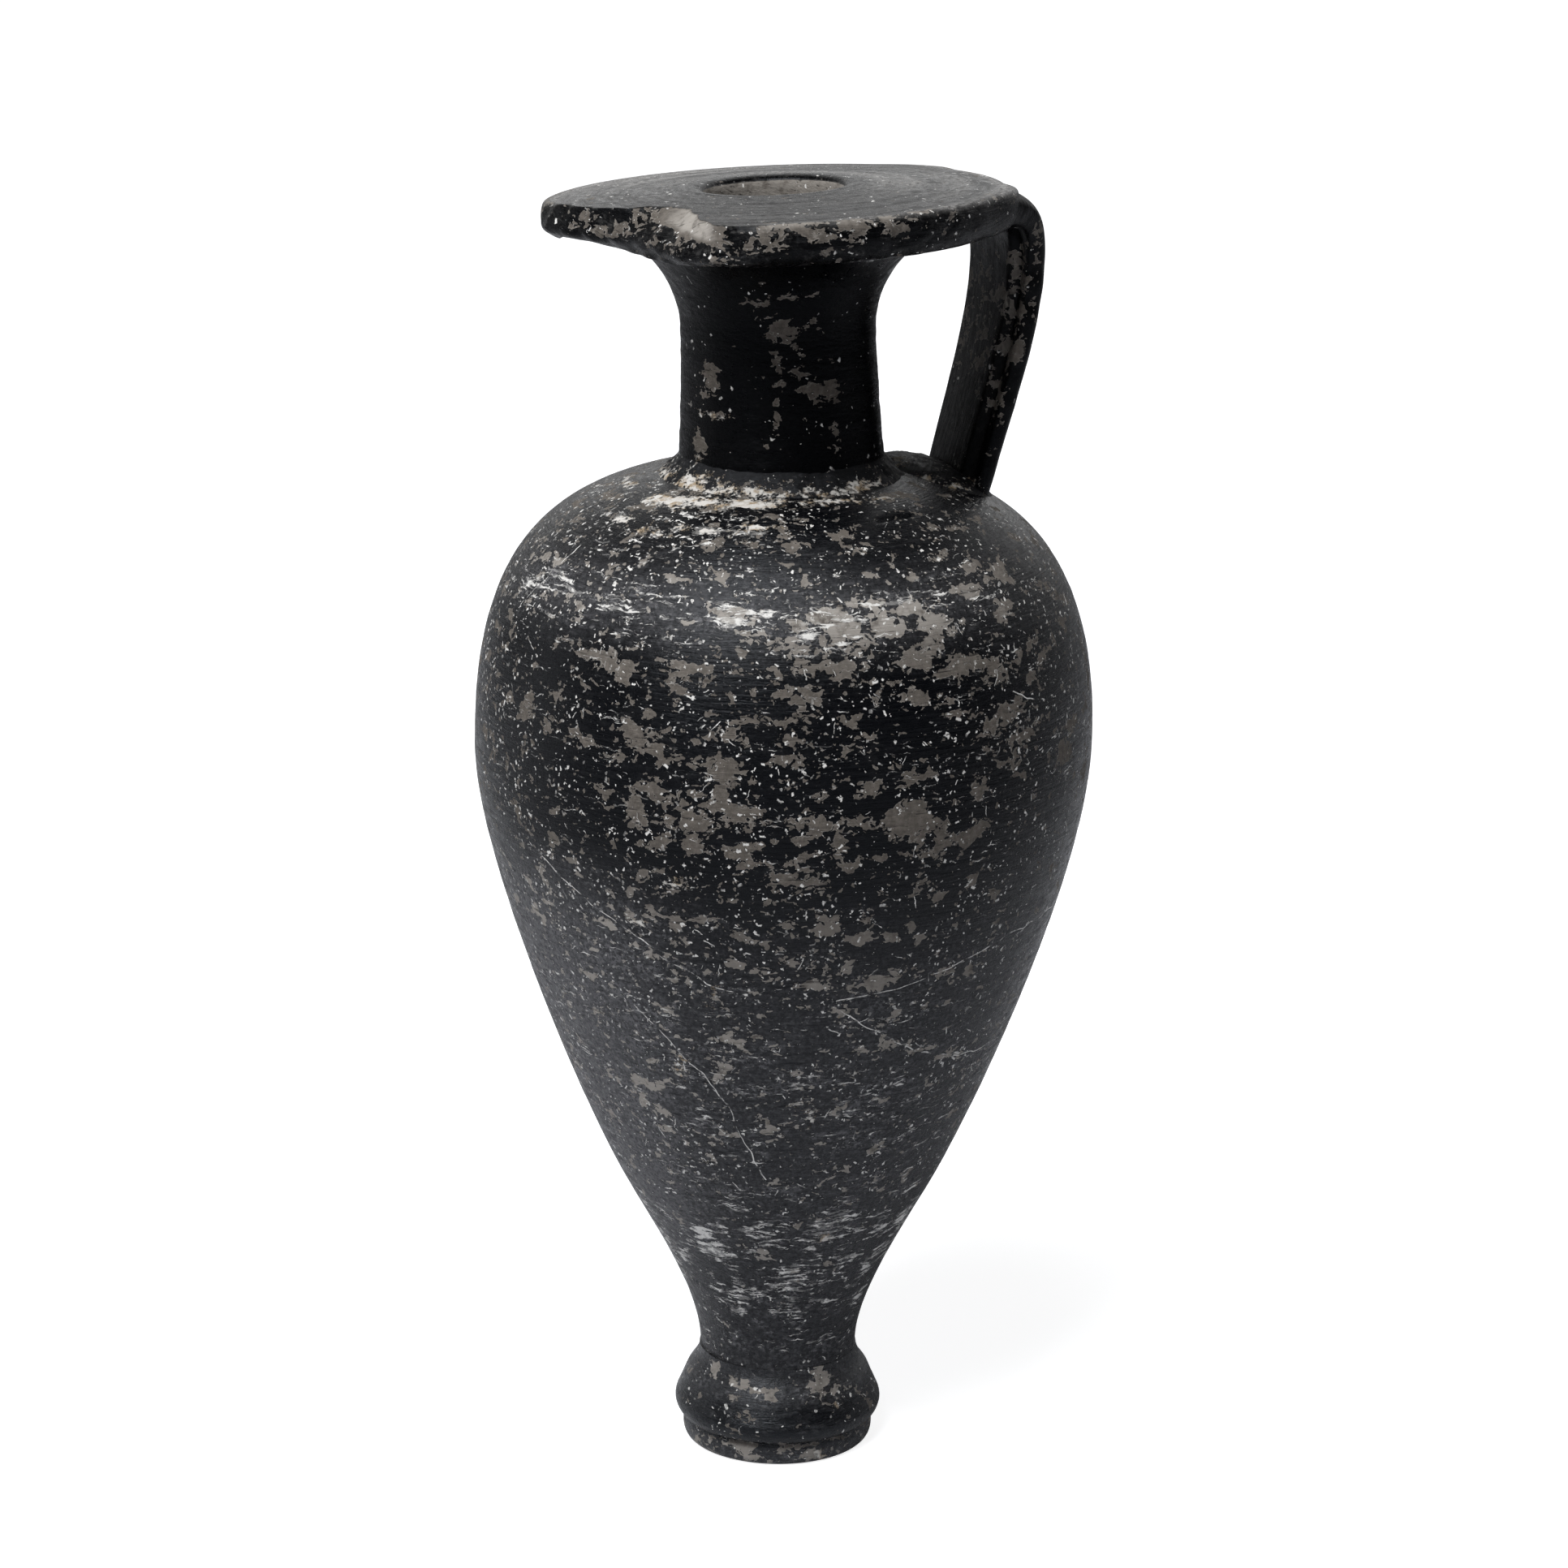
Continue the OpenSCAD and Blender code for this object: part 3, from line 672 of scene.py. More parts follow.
flakes_right = [
    (-101, 109.4, 1.7, 1.1, 0), (-98, 107.9, 2.9, 1.5, -5), (-90, 107.9, 2.3, 1.1, 0),
    (-96, 106.4, 2.7, 1.1, 10), (-83, 109.4, 2.6, 0.9, 5), (-80, 107.9, 2.4, 0.8, 5),
    (-79, 106.4, 2.2, 1.1, 15), (-84, 104.4, 2.5, 1.7, -10), (-75, 102.9, 5.0, 1.3, 3),
    (-66, 101.4, 2.7, 1.1, 5), (-103, 104.4, 1.4, 0.7, -5), (-99, 103.9, 2.2, 0.9, 12),
    (-108, 101.9, 2.6, 0.5, 5), (-92, 102.4, 2.3, 0.5, 0), (-85, 100.9, 2.1, 0.9, -10),
    (-66, 109.9, 2.0, 0.8, 10), (-64, 112.4, 1.9, 0.8, 5), (-56, 111.4, 2.9, 0.6, 12),
    (-54, 110.4, 1.2, 0.9, 0), (-51, 102.4, 4.0, 0.7, 28), (-60, 102.4, 2.7, 0.5, 20),
    (-75, 97.4, 2.8, 0.8, 0), (-65, 96.9, 3.9, 1.3, 12), (-61, 93.9, 3.5, 0.6, 10),
    (-68, 92.4, 1.7, 0.8, -25), (-65, 90.9, 1.5, 0.9, 0), (-106, 99.9, 1.4, 0.7, 5),
    (-109, 96.9, 1.1, 0.7, 0), (-44, 92.9, 2.0, 1.2, 0), (-48, 89.9, 1.8, 1.5, 0),
    (-35, 87.4, 0.7, 1.7, 0), (-37, 106.9, 3.5, 1.1, -30), (-99, 94.9, 1.2, 0.4, 0),
    (-87, 91.9, 1.1, 0.5, 0), (-30, 97.4, 1.0, 3.5, 0),
]
flakes_low = [
    (-133, 89.9, 2.4, 1.1, 0), (-137, 87.4, 1.5, 1.7, 0), (-125, 87.4, 3.7, 1.4, -5),
    (-121, 90.9, 1.4, 2.4, 0), (-117, 87.9, 2.2, 1.4, 0), (-117, 84.4, 1.7, 1.3, 0),
    (-132, 83.9, 1.2, 1.0, 0), (-126, 83.9, 2.0, 0.9, -10), (-110, 80.4, 1.4, 1.0, 15),
    (-95, 90.9, 1.5, 1.0, -20), (-88, 86.9, 2.6, 2.2, 10), (-82, 86.4, 2.0, 1.0, -5),
    (-103, 87.4, 2.6, 1.0, 0), (-96, 86.9, 2.0, 1.1, 10), (-74, 83.9, 2.9, 1.1, 5),
    (-72, 88.9, 1.9, 1.2, -30), (-85, 83.9, 0.8, 1.2, 0), (-81, 83.4, 0.9, 1.6, 0),
    (-100, 84.9, 0.7, 1.8, 0), (-106, 81.9, 0.9, 1.0, 0),
]
flakes_taper = [
    (-109, 80.7, 1.6, 1.0, 0), (-109, 75.0, 0.9, 0.5, 0), (-109, 71.1, 3.2, 0.5, -32),
    (-104, 67.2, 2.2, 0.9, -8), (-115, 68.9, 1.2, 0.4, -20), (-90, 67.4, 3.4, 1.0, 4),
    (-97, 69.6, 0.4, 1.4, 0), (-95, 72.8, 2.6, 0.7, 5), (-88, 73.4, 2.2, 0.8, 10),
    (-98, 63.6, 1.9, 0.4, -45), (-89, 61.2, 2.6, 0.4, -38), (-79, 57.2, 2.6, 0.4, -20),
    (-66, 55.4, 3.2, 0.35, 8), (-117, 61.4, 2.8, 0.35, -50), (-146, 52.2, 1.4, 0.7, -20),
    (-142, 48.9, 1.2, 0.7, -45), (-150, 50.1, 0.7, 0.7, 0), (-112, 47.7, 2.0, 0.7, 8),
    (-123, 55.9, 0.5, 0.4, 0), (-68, 67.1, 1.0, 1.1, 0), (-84, 78.4, 1.3, 0.8, 20),
    (-79, 77.9, 1.1, 0.7, 0), (-74, 77.7, 1.1, 0.6, 35), (-103, 79.3, 1.0, 0.7, 0),
]
# The far side, which flaked much as the near side did.
flakes_behind = [
    (9, 104.4, 3.2, 1.1, 5), (21, 98.4, 2.4, 1.5, -10), (30, 92.4, 3.0, 1.0, 0), (44, 105.4, 2.8, 1.2, 8),
    (55, 96.4, 3.6, 1.2, -4), (63, 88.4, 2.0, 1.6, 0), (76, 101.4, 3.4, 1.0, 6),
    (87, 94.4, 2.2, 1.8, -12), (95, 85.4, 2.8, 1.0, 4), (106, 104.4, 2.6, 1.3, 0),
    (118, 97.4, 3.0, 1.1, -8), (127, 89.4, 2.0, 1.2, 10), (139, 102.4, 2.4, 0.9, 4),
    (150, 93.4, 1.8, 1.4, 0), (165, 99.4, 2.6, 0.8, -6), (0, 86.4, 1.6, 1.9, 0), (70, 76.4, 1.8, 1.0, 15),
    (112, 72.4, 2.2, 0.9, -10), (157, 80.4, 1.4, 1.2, 0), (37, 70.4, 1.8, 0.8, 12),
]
mark(body, "flake", outside, flakes_left + flakes_right + flakes_low + flakes_taper + flakes_behind)
mark(body, "earth", outside, [
    (-156, 118.0, 3.5, 1.6, 0), (-142, 118.2, 3.5, 1.4, 0), (-126, 118.4, 3.5, 1.1, 0),
    (-112, 118.6, 3.0, 0.8, 0), (-163, 116.2, 1.6, 0.8, 20), (-150, 115.6, 2.4, 0.5, 8),
    (-134, 116.4, 3.0, 0.4, -4), (-118, 116.8, 2.0, 0.3, 0), (-95, 118.5, 3.5, 0.6, 0),
    (-70, 118.4, 2.5, 0.5, 0), (-91, 30.5, 0.7, 0.6, 0), (167, 118.0, 4.0, 0.8, 0),
    (-129, 79.0, 0.9, 0.5, 0), (-138, 74.0, 0.8, 0.5, 0), (-160, 70.2, 0.4, 1.4, 0),
    (-124, 65.3, 0.4, 0.9, -10), (-134, 55.7, 0.4, 1.1, -10), (-94, 55.4, 0.7, 0.4, 20),
    (-102, 49.6, 0.4, 0.8, 0), (-105, 51.5, 0.9, 0.3, 0), (-96, 62.2, 0.9, 0.4, -45),
    (117, 118.2, 5.0, 0.5, 0), (57, 118.2, 4.0, 0.5, 0),
])

# Wear gathers in a belt round the belly, and scuffs near the neck and in a low belt. The low body has dust
# with a painted reflection of the floor, lighter on the left; the shoulder has a cloud of dust with a
# painted highlight; and a painted sheen runs along the left side low down.
wear = body.verts.layers.float.new("wear")
dust_and_painted_sheen = body.verts.layers.float.new("dust_and_painted_sheen")
scuff = body.verts.layers.float.new("scuff")
to_left = Vector((-0.87, -0.5))
to_front_left = Vector((-0.6, -0.8))
to_seam_earth = Vector((-0.8, -0.6))
to_left_edge = Vector((-0.985, -0.17))
cloud_z, cloud_high = 109.5, 3.5
for v in body.verts:
    out, z = v.co.xy.normalized(), v.co.z / MM
    belt = smooth(76, 86, z) * (1 - smooth(106, 113, z))
    left = smooth(-0.2, 0.9, out.dot(to_left))
    low = 1 - smooth(56, 84, z)
    cloud = math.exp(-((z - cloud_z) / cloud_high) ** 2) * smooth(0.1, 0.9, out.dot(to_front_left))
    near_seam = smooth(112.5, 116.5, z) * smooth(0.6, 0.95, out.dot(to_seam_earth))
    low_belt = smooth(17, 20, z) * (1 - smooth(31, 38, z))
    sheen = math.exp(-((out.dot(to_left_edge) - 1) / 0.16) ** 2)
    sheen *= smooth(24, 34, z) * (1 - smooth(70, 84, z))
    v[wear] = 0.28 * belt + 0.34 * smooth(26, 44, z) * (1 - belt) + 0.16 * left * smooth(60, 84, z)
    # The dust layer: real dust, with a painted highlight in the shoulder's cloud, a painted reflection of
    # the floor low down that is lighter on the left, and a painted sheen at the left edge.
    v[dust_and_painted_sheen] = 1.1 * cloud + (0.68 + 0.2 * left) * low + 1.5 * sheen
    v[scuff] = 0.55 * near_seam + 0.36 * low_belt + 0.2 * belt + 0.55 * cloud + 0.3 * low + 0.24


def on_body(turn, height):
    """The place on the outside of the body at a turn and a height, in mm."""
    r = min(outside, key=lambda p: abs(p.y - height)).x
    return Vector((r * math.cos(math.radians(turn)), r * math.sin(math.radians(turn)), height))


# Long scratches, each as a run of turns and heights.
scratch_runs = [
    [(-164, 80.5), (-143, 73.4), (-125, 67.3), (-117, 66.0)],
    [(-99, 65.1), (-82, 66.4), (-59, 70.0), (-35, 70.0)],
    [(-142, 63.1), (-128, 54.4), (-123, 50.8), (-114, 40.4)],
    [(-175, 106.0), (-170, 109.5), (-166, 114.4)],
    [(-63, 99.3), (-51, 96.1)],
    [(-100, 64.6), (-77, 57.1), (-62, 54.6), (-46, 54.2)],
]
scratches = [(on_body(*a), on_body(*b)) for run in scratch_runs for a, b in zip(run, run[1:])]
body_slip = slipped_clay(
    "body_slip", (0.0020, 0.0023, 0.0033), dust=0.08, wear=0.52, nicks=0.3, rough=0.26, shine=0.15,
    scratches=scratches)
as_piece(body, "body_thrown", "body", body_slip)

# The neck.
# A short tube of fired clay, thrown by itself and stuck on with slip: it narrows a little, then
# flares to carry the mouth plate. Fine wheel ridges run round it.
neck_h = 26.4
neck_waist_r = 11.1
flare_h = 10.2
seat_r = 16.4
neck_lean = 1.5
plate_z = neck_z + neck_h
lean_root = 9

flare_z = plate_z - flare_h
spread = seat_r - neck_waist_r
flare_round = (flare_h * flare_h + spread * spread) / (2 * spread)
flare = [
    Vector((neck_waist_r + flare_round * (1 - math.cos(a)), flare_z + flare_round * math.sin(a)))
    for a in [math.asin(flare_h / flare_round) * i / 22 for i in range(23)]
]
neck_outline = joined(
    curve((neck_base_r, neck_z), (neck_base_r - 0.3, neck_z + 5),
          (neck_waist_r, flare_z - 6), (neck_waist_r, flare_z), 50),
    flare,
    line(flare[-1], (seat_r - 0.2, plate_z + 0.7), 2),
    line((seat_r - 0.2, plate_z + 0.7), (bore_r, plate_z + 0.7), 6),
    line((bore_r, plate_z + 0.7), (bore_r, neck_z), 16),
    line((bore_r, neck_z), (neck_base_r, neck_z), 3),
)[:-1]
neck = thrown(neck_outline, 240, closed=True)
by_hand(neck, 0.14, 0.12, 23)


def lean_over(shape, inner=0):
    """Leans a shape away from the handle as the neck leans, and pulls the bore's wall with the bore."""
    for v in shape.verts:
        if v.co.xy.length > inner * MM:
            v.co.x -= neck_lean * (v.co.z - (neck_z - lean_root) * MM) / (neck_h + lean_root)
        else:
            v.co.x -= bore_shift * MM


neck_side = [Vector((neck_waist_r + 0.2, neck_z + i)) for i in range(27)]
mark(neck, "flake", neck_side, [
    (-153, 131.5, 1.4, 1.4, 0), (-160, 129.0, 0.8, 0.4, 10), (-148, 127.6, 0.5, 0.3, 0),
    (-155, 126.8, 0.9, 0.3, 0), (-163, 123.6, 1.0, 1.6, 0), (-124, 140.2, 1.1, 0.4, 8),
    (-104, 140.8, 1.6, 0.3, 8), (-108, 137.6, 2.6, 1.2, -12), (-95, 137.4, 1.8, 1.0, 0),
    (-110, 133.3, 0.4, 3.2, 0), (-112, 129.5, 0.2, 1.4, 0), (-97, 132.6, 1.3, 0.6, 0),
    (-84, 130.4, 2.6, 1.0, -8), (-91, 134.0, 1.4, 0.3, -20), (-77, 125.1, 0.6, 1.1, 0),
    (-118, 124.4, 0.7, 0.4, 0), (17, 128.4, 2.2, 1.1, 0), (72, 131.4, 1.6, 1.6, 0),
    (117, 125.4, 2.4, 0.9, 0), (162, 133.4, 1.5, 1.2, 0),
])
mark(neck, "earth", neck_side, [(-163, 122.6, 0.5, 0.6, 0), (-156, 126.9, 0.6, 0.1, 0)])
neck_slip = slipped_clay(
    "neck_slip", (0.0008, 0.0009, 0.0013), dust=0.03, wear=0.16, nicks=0.1, rough=0.34, shine=0.08)
lean_over(neck, bore_r + 0.4)
as_piece(neck, "neck_tube", "neck", neck_slip)

# The coil at the neck's foot.
# A roll of soft clay pressed into the corner between neck and shoulder to seal the joint. It is
# uneven, and pale earth from the ground still sticks to it.
coil_h = 2
coil_w = 2.2


def shoulder_z(r):
    """Height of the shoulder at a distance from the axis, in mm."""
    for a, b in zip(shoulder_curve, shoulder_curve[1:]):
        if b.x <= r <= a.x:
            return a.y + (b.y - a.y) * (a.x - r) / (a.x - b.x)
    return neck_z


coil_out = neck_base_r + coil_w
coil_toe = Vector((coil_out + 0.5, shoulder_z(coil_out + 0.5) - 0.25))
coil_top = Vector((neck_base_r - 0.35, neck_z + coil_h + 0.4))
coil_heel = Vector((neck_base_r - 0.8, neck_z - 1))
coil_steps = 14
coil_outline = joined(
    curve(coil_toe, (coil_out - 0.3 * coil_w, shoulder_z(coil_out) + 0.3 * coil_h),
          (neck_base_r + 0.2 * coil_w, neck_z + 0.6 * coil_h), coil_top, coil_steps),
    line(coil_top, coil_heel, 4),
    line(coil_heel, coil_toe, 5),
)[:-1]
coil = thrown(coil_outline, 300, closed=True)
lean_over(coil)
coil_row = coil.verts.layers.float["row"]
for v in coil.verts:
    if v[coil_row] < coil_steps:
        out = v.co.xy.normalized()
        lump = noise.fractal(Vector((out.x * 5, out.y * 5, v.co.z / (2.4 * MM))), 0.8, 2.1, 4)
        slow = noise.noise(Vector((out.x * 1.7 + 5, out.y * 1.7, 0)))
        by = (0.2 * lump + 0.25 * slow - 0.1) * MM * math.sin(math.pi * v[coil_row] / coil_steps)
        v.co += Vector((out.x, out.y, 1)) * by
mark(coil, "flake", neck_side, [])
coil_side = [Vector((coil_out - 0.5, neck_z - 2 + i)) for i in range(8)]
mark(coil, "earth", coil_side, [
    (-158, 119.2, 2.6, 0.9, 0), (-143, 118.8, 2.2, 0.7, 0), (-128, 119.0, 2.0, 0.5, 0),
    (-113, 118.9, 2.6, 0.4, 0), (-98, 119.0, 2.0, 0.5, 0), (-84, 119.2, 2.0, 0.4, 0),
    (-70, 119.4, 2.4, 0.5, 0), (170, 119.0, 4.0, 0.7, 0), (110, 119.2, 4.0, 0.9, 0),
    (60, 119.2, 4.0, 0.9, 0),
])
coil_clay = slipped_clay(
    "coil_clay", (0.006, 0.006, 0.007), dust=0.4, wear=0.75, nicks=0.2, rough=0.6, shine=0.25)
as_piece(coil, "neck_coil_pressed", "neck_coil", coil_clay, 60)

# The mouth plate.
# A thick flat disc of fired clay with a round hole and a soft lip. It slumped a little before firing.
# At the front left an old break took the rim away in three flakes: one off the top, one right
# through, and one off the underside.
plate_r = 26.6
rim_t = 4.7
plate_dish = 0.5
plate_crown = 1
mouth_bevel = 1.1
plate_tilt = math.radians(2.9)
plate_tilt_dir = math.radians(-40)
rim_top = plate_dish + rim_t
mouth_top = rim_top + plate_crown
lip_r = bore_r + mouth_bevel
plate_place = (
    Matrix.Translation((-neck_lean * MM, 0, plate_z * MM))
    @ Matrix.Rotation(plate_tilt, 4, Vector((math.sin(plate_tilt_dir), -math.cos(plate_tilt_dir), 0)))
)

bore_run = line((bore_r, 0), (bore_r, mouth_top - mouth_bevel - 0.5), 6)
lip_run = curve(bore_run[-1], (bore_r, mouth_top - 0.35),
                (bore_r + 0.45, mouth_top + 0.02), (lip_r + 0.5, mouth_top), 9)
top_run = line(lip_run[-1], (plate_r - 1.4, rim_top + 0.05), 46)
arris_run = curve(top_run[-1], (plate_r - 0.6, rim_top),
                  (plate_r - 0.2, rim_top - 0.2), (plate_r - 0.1, rim_top - 0.7), 8)
nose_run = curve(arris_run[-1], (plate_r + 0.3, plate_dish + 0.6 * rim_t),
                 (plate_r - 0.2, plate_dish + 0.2),
                 (plate_r - 2, plate_dish - 0.1), 26)
under_run = curve(nose_run[-1], (plate_r - 5, 0.4 * plate_dish),
                  (seat_r + 1.6, 0.1 * plate_dish), (seat_r, 0), 14)
seat_run = line(under_run[-1], (bore_r, 0), 5)
plate_outline = joined(bore_run, lip_run, top_run, arris_run, nose_run, under_run, seat_run)[:-1]
top_row = len(bore_run) + len(lip_run) - 2
edge_row = top_row + len(top_run) - 1
nose_row = edge_row + len(arris_run) - 1
under_row = nose_row + len(nose_run) - 1
seat_row = under_row + len(under_run) - 1

# How far the broken plate still reaches, as degrees round from the handle on the near side and
# radius: at the top, at the ledge halfway down the break, and at the lower edge.
top_reach = [
    (108, 26.6), (117, 26.2), (123, 25.2), (129, 22.9), (136, 19.0), (143, 16.7), (151, 16.4),
    (160, 17.2), (168, 19.6), (179, 21.6), (187, 22.9), (195, 24.4), (203, 25.6), (211, 26.3),
    (222, 26.6),
]
ledge_reach = [
    (108, 26.7), (122, 26.0), (134, 23.9), (145, 21.5), (154, 20.0), (163, 19.5), (173, 20.4),
    (181, 22.4), (188, 24.3), (196, 25.7), (206, 26.3), (222, 26.6),
]
low_reach = [
    (63, 25.0), (93, 24.8), (112, 24.5), (121, 24.0), (131, 23.2), (140, 21.9), (151, 20.1), (163, 18.8),
    (175, 18.6), (184, 19.2), (193, 21.0), (203, 23.0), (215, 24.6),
]
low_height = [
    (63, 0.5), (103, 0.6), (128, 0.5), (143, 0.4), (163, 0.5), (178, 0.7), (191, 1.1), (203, 1.5),
    (217, 1.1), (231, 0.5),
]
ledge_height = [
    (115, 1.9), (127, 1.9), (136, 2.5), (148, 3.2), (163, 3.5), (178, 3.3), (191, 3.0), (210, 3.0),
]


def follow(marks, at):
    """Reads a value between marks, with an easy slope from one to the next."""
    if at <= marks[0][0]:
        return marks[0][1]
    for (a, low), (b, high) in zip(marks, marks[1:]):
        if at <= b:
            return low + (high - low) * smooth(a, b, at)
    return marks[-1][1]


plate = thrown(plate_outline, 480, closed=True)
plate_row = plate.verts.layers.float["row"]
for v in plate.verts:
    r, z, i = v.co.xy.length / MM, v.co.z / MM, v[plate_row]
    out = v.co.xy.normalized()
    back = -math.degrees(math.atan2(v.co.y, v.co.x)) % 360
    broken = smooth(104, 122, back) * (1 - smooth(194, 212, back))
    chip = 0.3 * noise.fractal(Vector((out.x * 5, out.y * 5, z * 0.4)), 0.9, 2.0, 4) * broken
    top_r = follow(top_reach, back) - (0.3 * chip if broken else 0)
    low_r = follow(low_reach, back)
    if top_row < i <= edge_row:
        share = (r - lip_r - 0.5) / (plate_r - 1.4 - lip_r - 0.5)
        r = lip_r + 0.5 + share * (top_r - 1.4 * (1 - broken) - lip_r - 0.5)
        z = mouth_top + (rim_top + 0.05 - mouth_top) * (r - lip_r - 0.5) / (plate_r - 1.4 - lip_r - 0.5)
    elif edge_row < i < under_row:
        t = (i - edge_row) / (under_row - edge_row)
        ledge_r, ledge_z = follow(ledge_reach, back), follow(ledge_height, back)
        top_z = mouth_top + (rim_top - mouth_top) * (top_r - lip_r) / (plate_r - 1.4 - lip_r)
        if t < 0.5:
            face_r = top_r + (ledge_r - top_r) * (t / 0.5) ** 0.8
            face_z = top_z + (ledge_z - top_z) * (t / 0.5) ** 1.1
        else:
            s = (t - 0.5) / 0.5
            face_r = ledge_r + 0.35 * math.sin(math.pi * min(s * 1.4, 1)) + (low_r - ledge_r) * s * s
            face_z = ledge_z - 0.25 * math.sin(math.pi * s) + (follow(low_height, back) - ledge_z) * s
        r = r + (face_r + 0.55 * chip - r) * broken
        z = z + (face_z - z) * broken
    elif under_row <= i < seat_row:
        share = (r - seat_r) / (plate_r - 2 - seat_r)
        r = seat_r + share * (low_r - seat_r)
        z = z + (follow(low_height, back) - plate_dish + 0.1) * share ** 1.5
    worn = smooth(edge_row - 3, edge_row + 6, i) * (1 - smooth(under_row - 2, under_row + 4, i))
    worn *= smooth(43, 65, back) * (1 - smooth(110, 119, back))
    rub = noise.fractal(Vector((out.x * 7, out.y * 7, z * 0.35)), 0.9, 2.1, 3)
    r -= worn * (0.22 + 0.4 * rub)
    aside = min(back, 360 - back)
    if i > top_row and r > 20:
        r += 1.1 * smooth(46, 30, aside) * smooth(14, 24, aside) * smooth(20, plate_r, r)
    pull = (bore_shift - neck_lean) * (1 - smooth(bore_r + 1, 22, r))
    ring = 0.05 * noise.noise(Vector((out.x * 0.6, out.y * 0.6, r * 1.3))) if top_row < i <= edge_row else 0
    v.co = Vector((out.x * r - pull, out.y * r, z + ring)) * MM

# The marks: bare clay in the bore, made paler as painted light; dust on the top, with a painted reflection
# that brightens its far side; crumbled slip along the rim's upper edge, with the lower half of the rim's
# face kept black as painted shade; a pale scar at the break's top, partly a painted highlight; and earth on
# its left.
names = ("flake", "earth", "wear", "dust_and_painted_sheen")
for name in names:
    plate.verts.layers.float.new(name)
flake, earth, wear, dust_and_painted_sheen = [plate.verts.layers.float[name] for name in names]
plate_row = plate.verts.layers.float["row"]
to_far_right = Vector((0.6, 0.8))
for v in plate.verts:
    i, r = v[plate_row], v.co.xy.length / MM
    out = v.co.xy.normalized()
    back = -math.degrees(math.atan2(v.co.y, v.co.x)) % 360
    gone = smooth(108, 120, back) * (1 - smooth(190, 204, back))
    v[flake] = -3
    v[earth] = -3
    # The bare clay in the bore, and under the seat, is made paler than it is, as painted light in the dim
    # hole.
    if i <= top_row - 6 or i > seat_row:
        v[flake] = 2
        v[dust_and_painted_sheen] = 0.55
    elif i <= edge_row:
        # Painted reflection: the dust layer grows towards the far right of the top, where the top mirrors
        # the bright room behind.
        far = smooth(-0.5, 0.9, out.dot(to_far_right)) * smooth(8, 16, r)
        lathe = 0.7 + 1.5 * noise.noise(Vector((out.x * 0.5, out.y * 0.5, r * 0.38)))
        v[dust_and_painted_sheen] = (0.1 + 1.3 * far) * max(lathe, 0) + 0.4 * smooth(edge_row - 3, edge_row, i) * (1 - gone)
        v[dust_and_painted_sheen] *= smooth(top_row - 2, top_row + 6, i)
        v[wear] = 0.15
        v[flake] = -3 + 2.4 * smooth(edge_row - 3, edge_row, i)
    elif i < under_row:
        t = (i - edge_row) / (under_row - edge_row)
        leaf = smooth(121, 127, back) * (1 - smooth(138, 160, back)) * (1 - smooth(0.22, 0.36, t))
        front = smooth(58, 84, back)
        # Painted shade: fewer flakes on the lower half of the unbroken rim's face keep it black.
        whole = -0.75 + 0.9 * front - 1.3 * smooth(0.35, 0.8, t)
        torn = -0.1 + 3.2 * leaf - 0.7 * smooth(0.6, 0.9, t) - 1.5 * smooth(184, 198, back)
        v[flake] = whole + (torn - whole) * gone
        # The scar's dust layer is pale clay, and partly a painted highlight on the smooth fracture.
        v[dust_and_painted_sheen] = leaf * leaf + 0.5 * (1 - smooth(0.05, 0.25, t)) * (1 - gone)
        v[earth] = -3 + 1.9 * gone * smooth(0.35, 0.5, t) * smooth(140, 155, back)
        v[wear] = 0.3
bmesh.ops.transform(plate, matrix=plate_place, verts=plate.verts)
# The pale dust colour carries the painted reflection on the far side of the top.
plate_slip = slipped_clay(
    "plate_slip", (0.0018, 0.0018, 0.0022), dust=0.12, wear=0.3, nicks=0.12, rough=0.26, shine=0.1,
    dust_and_sheen_colour=(0.42, 0.41, 0.40))
as_piece(plate, "mouth_plate_slumped", "mouth_plate", plate_slip, 55)

# The handle.
# A strap of clay pulled out by hand, stuck to the plate's rim, bent over and pressed down on the
# shoulder. It is thick in the middle, with a step down to a thin edge along each side.
strap_w = 16.8
strap_foot_w = 14.4
strap_t = 4.4
strap_foot_t = 3.9
strap_out = 3.9
bend_h = 9.2
strap_bow = 1.9
strap_foot_r = 22.9
strap_root_w = 30
edge_drop = 1.3
rim_x = plate_r - neck_lean
strap_reach = rim_x + strap_out
strap_root_t = 0.95 * rim_t
strap_top_z = plate_z + rim_top + plate_r * math.tan(plate_tilt) * math.cos(plate_tilt_dir)
strap_end = Vector((strap_foot_r, shoulder_z(strap_foot_r) - 1))
bend_end = Vector((strap_reach, strap_top_z - bend_h))
leg_drop = Vector((0, bend_end.y - strap_end.y))
bend_steps, leg_steps = 18, 30
bend_run = curve((rim_x - 0.19 * plate_r, strap_top_z - 0.1), (rim_x + 0.5, strap_top_z),
                 (strap_reach, strap_top_z - 0.3 * bend_h), bend_end, bend_steps)
leg_run = curve(bend_end, bend_end - 0.3 * leg_drop,
                strap_end + Vector((strap_bow, 0.29 * leg_drop.y)), strap_end, leg_steps)
strap_path = joined(bend_run, leg_run)

# Half the strap's section from the outer face round to the inner one: share of the half width,
# share of the thickness, and share of the drop from the thick middle to the thin edge.
strap_side = [
    (0, 0, 0), (0.22, 0, 0), (0.44, 0.01, 0), (0.68, 0.03, 0), (0.87, 0.09, 0), (0.97, 0.2, 0),
    (1, 0.36, 0), (0.998, 0.6, 0), (0.975, 0.95, 0.92), (0.92, 1, 1), (0.84, 1, 1), (0.785, 1, 1.12),
    (0.75, 1, 0.8), (0.725, 1, 0.2), (0.68, 1, 0), (0.5, 1.02, 0), (0.3, 1.04, 0), (0.12, 1.05, 0),
]
strap_section = strap_side + [(0, 1.05, 0)] + [(-w, t, g) for w, t, g in strap_side[:0:-1]]


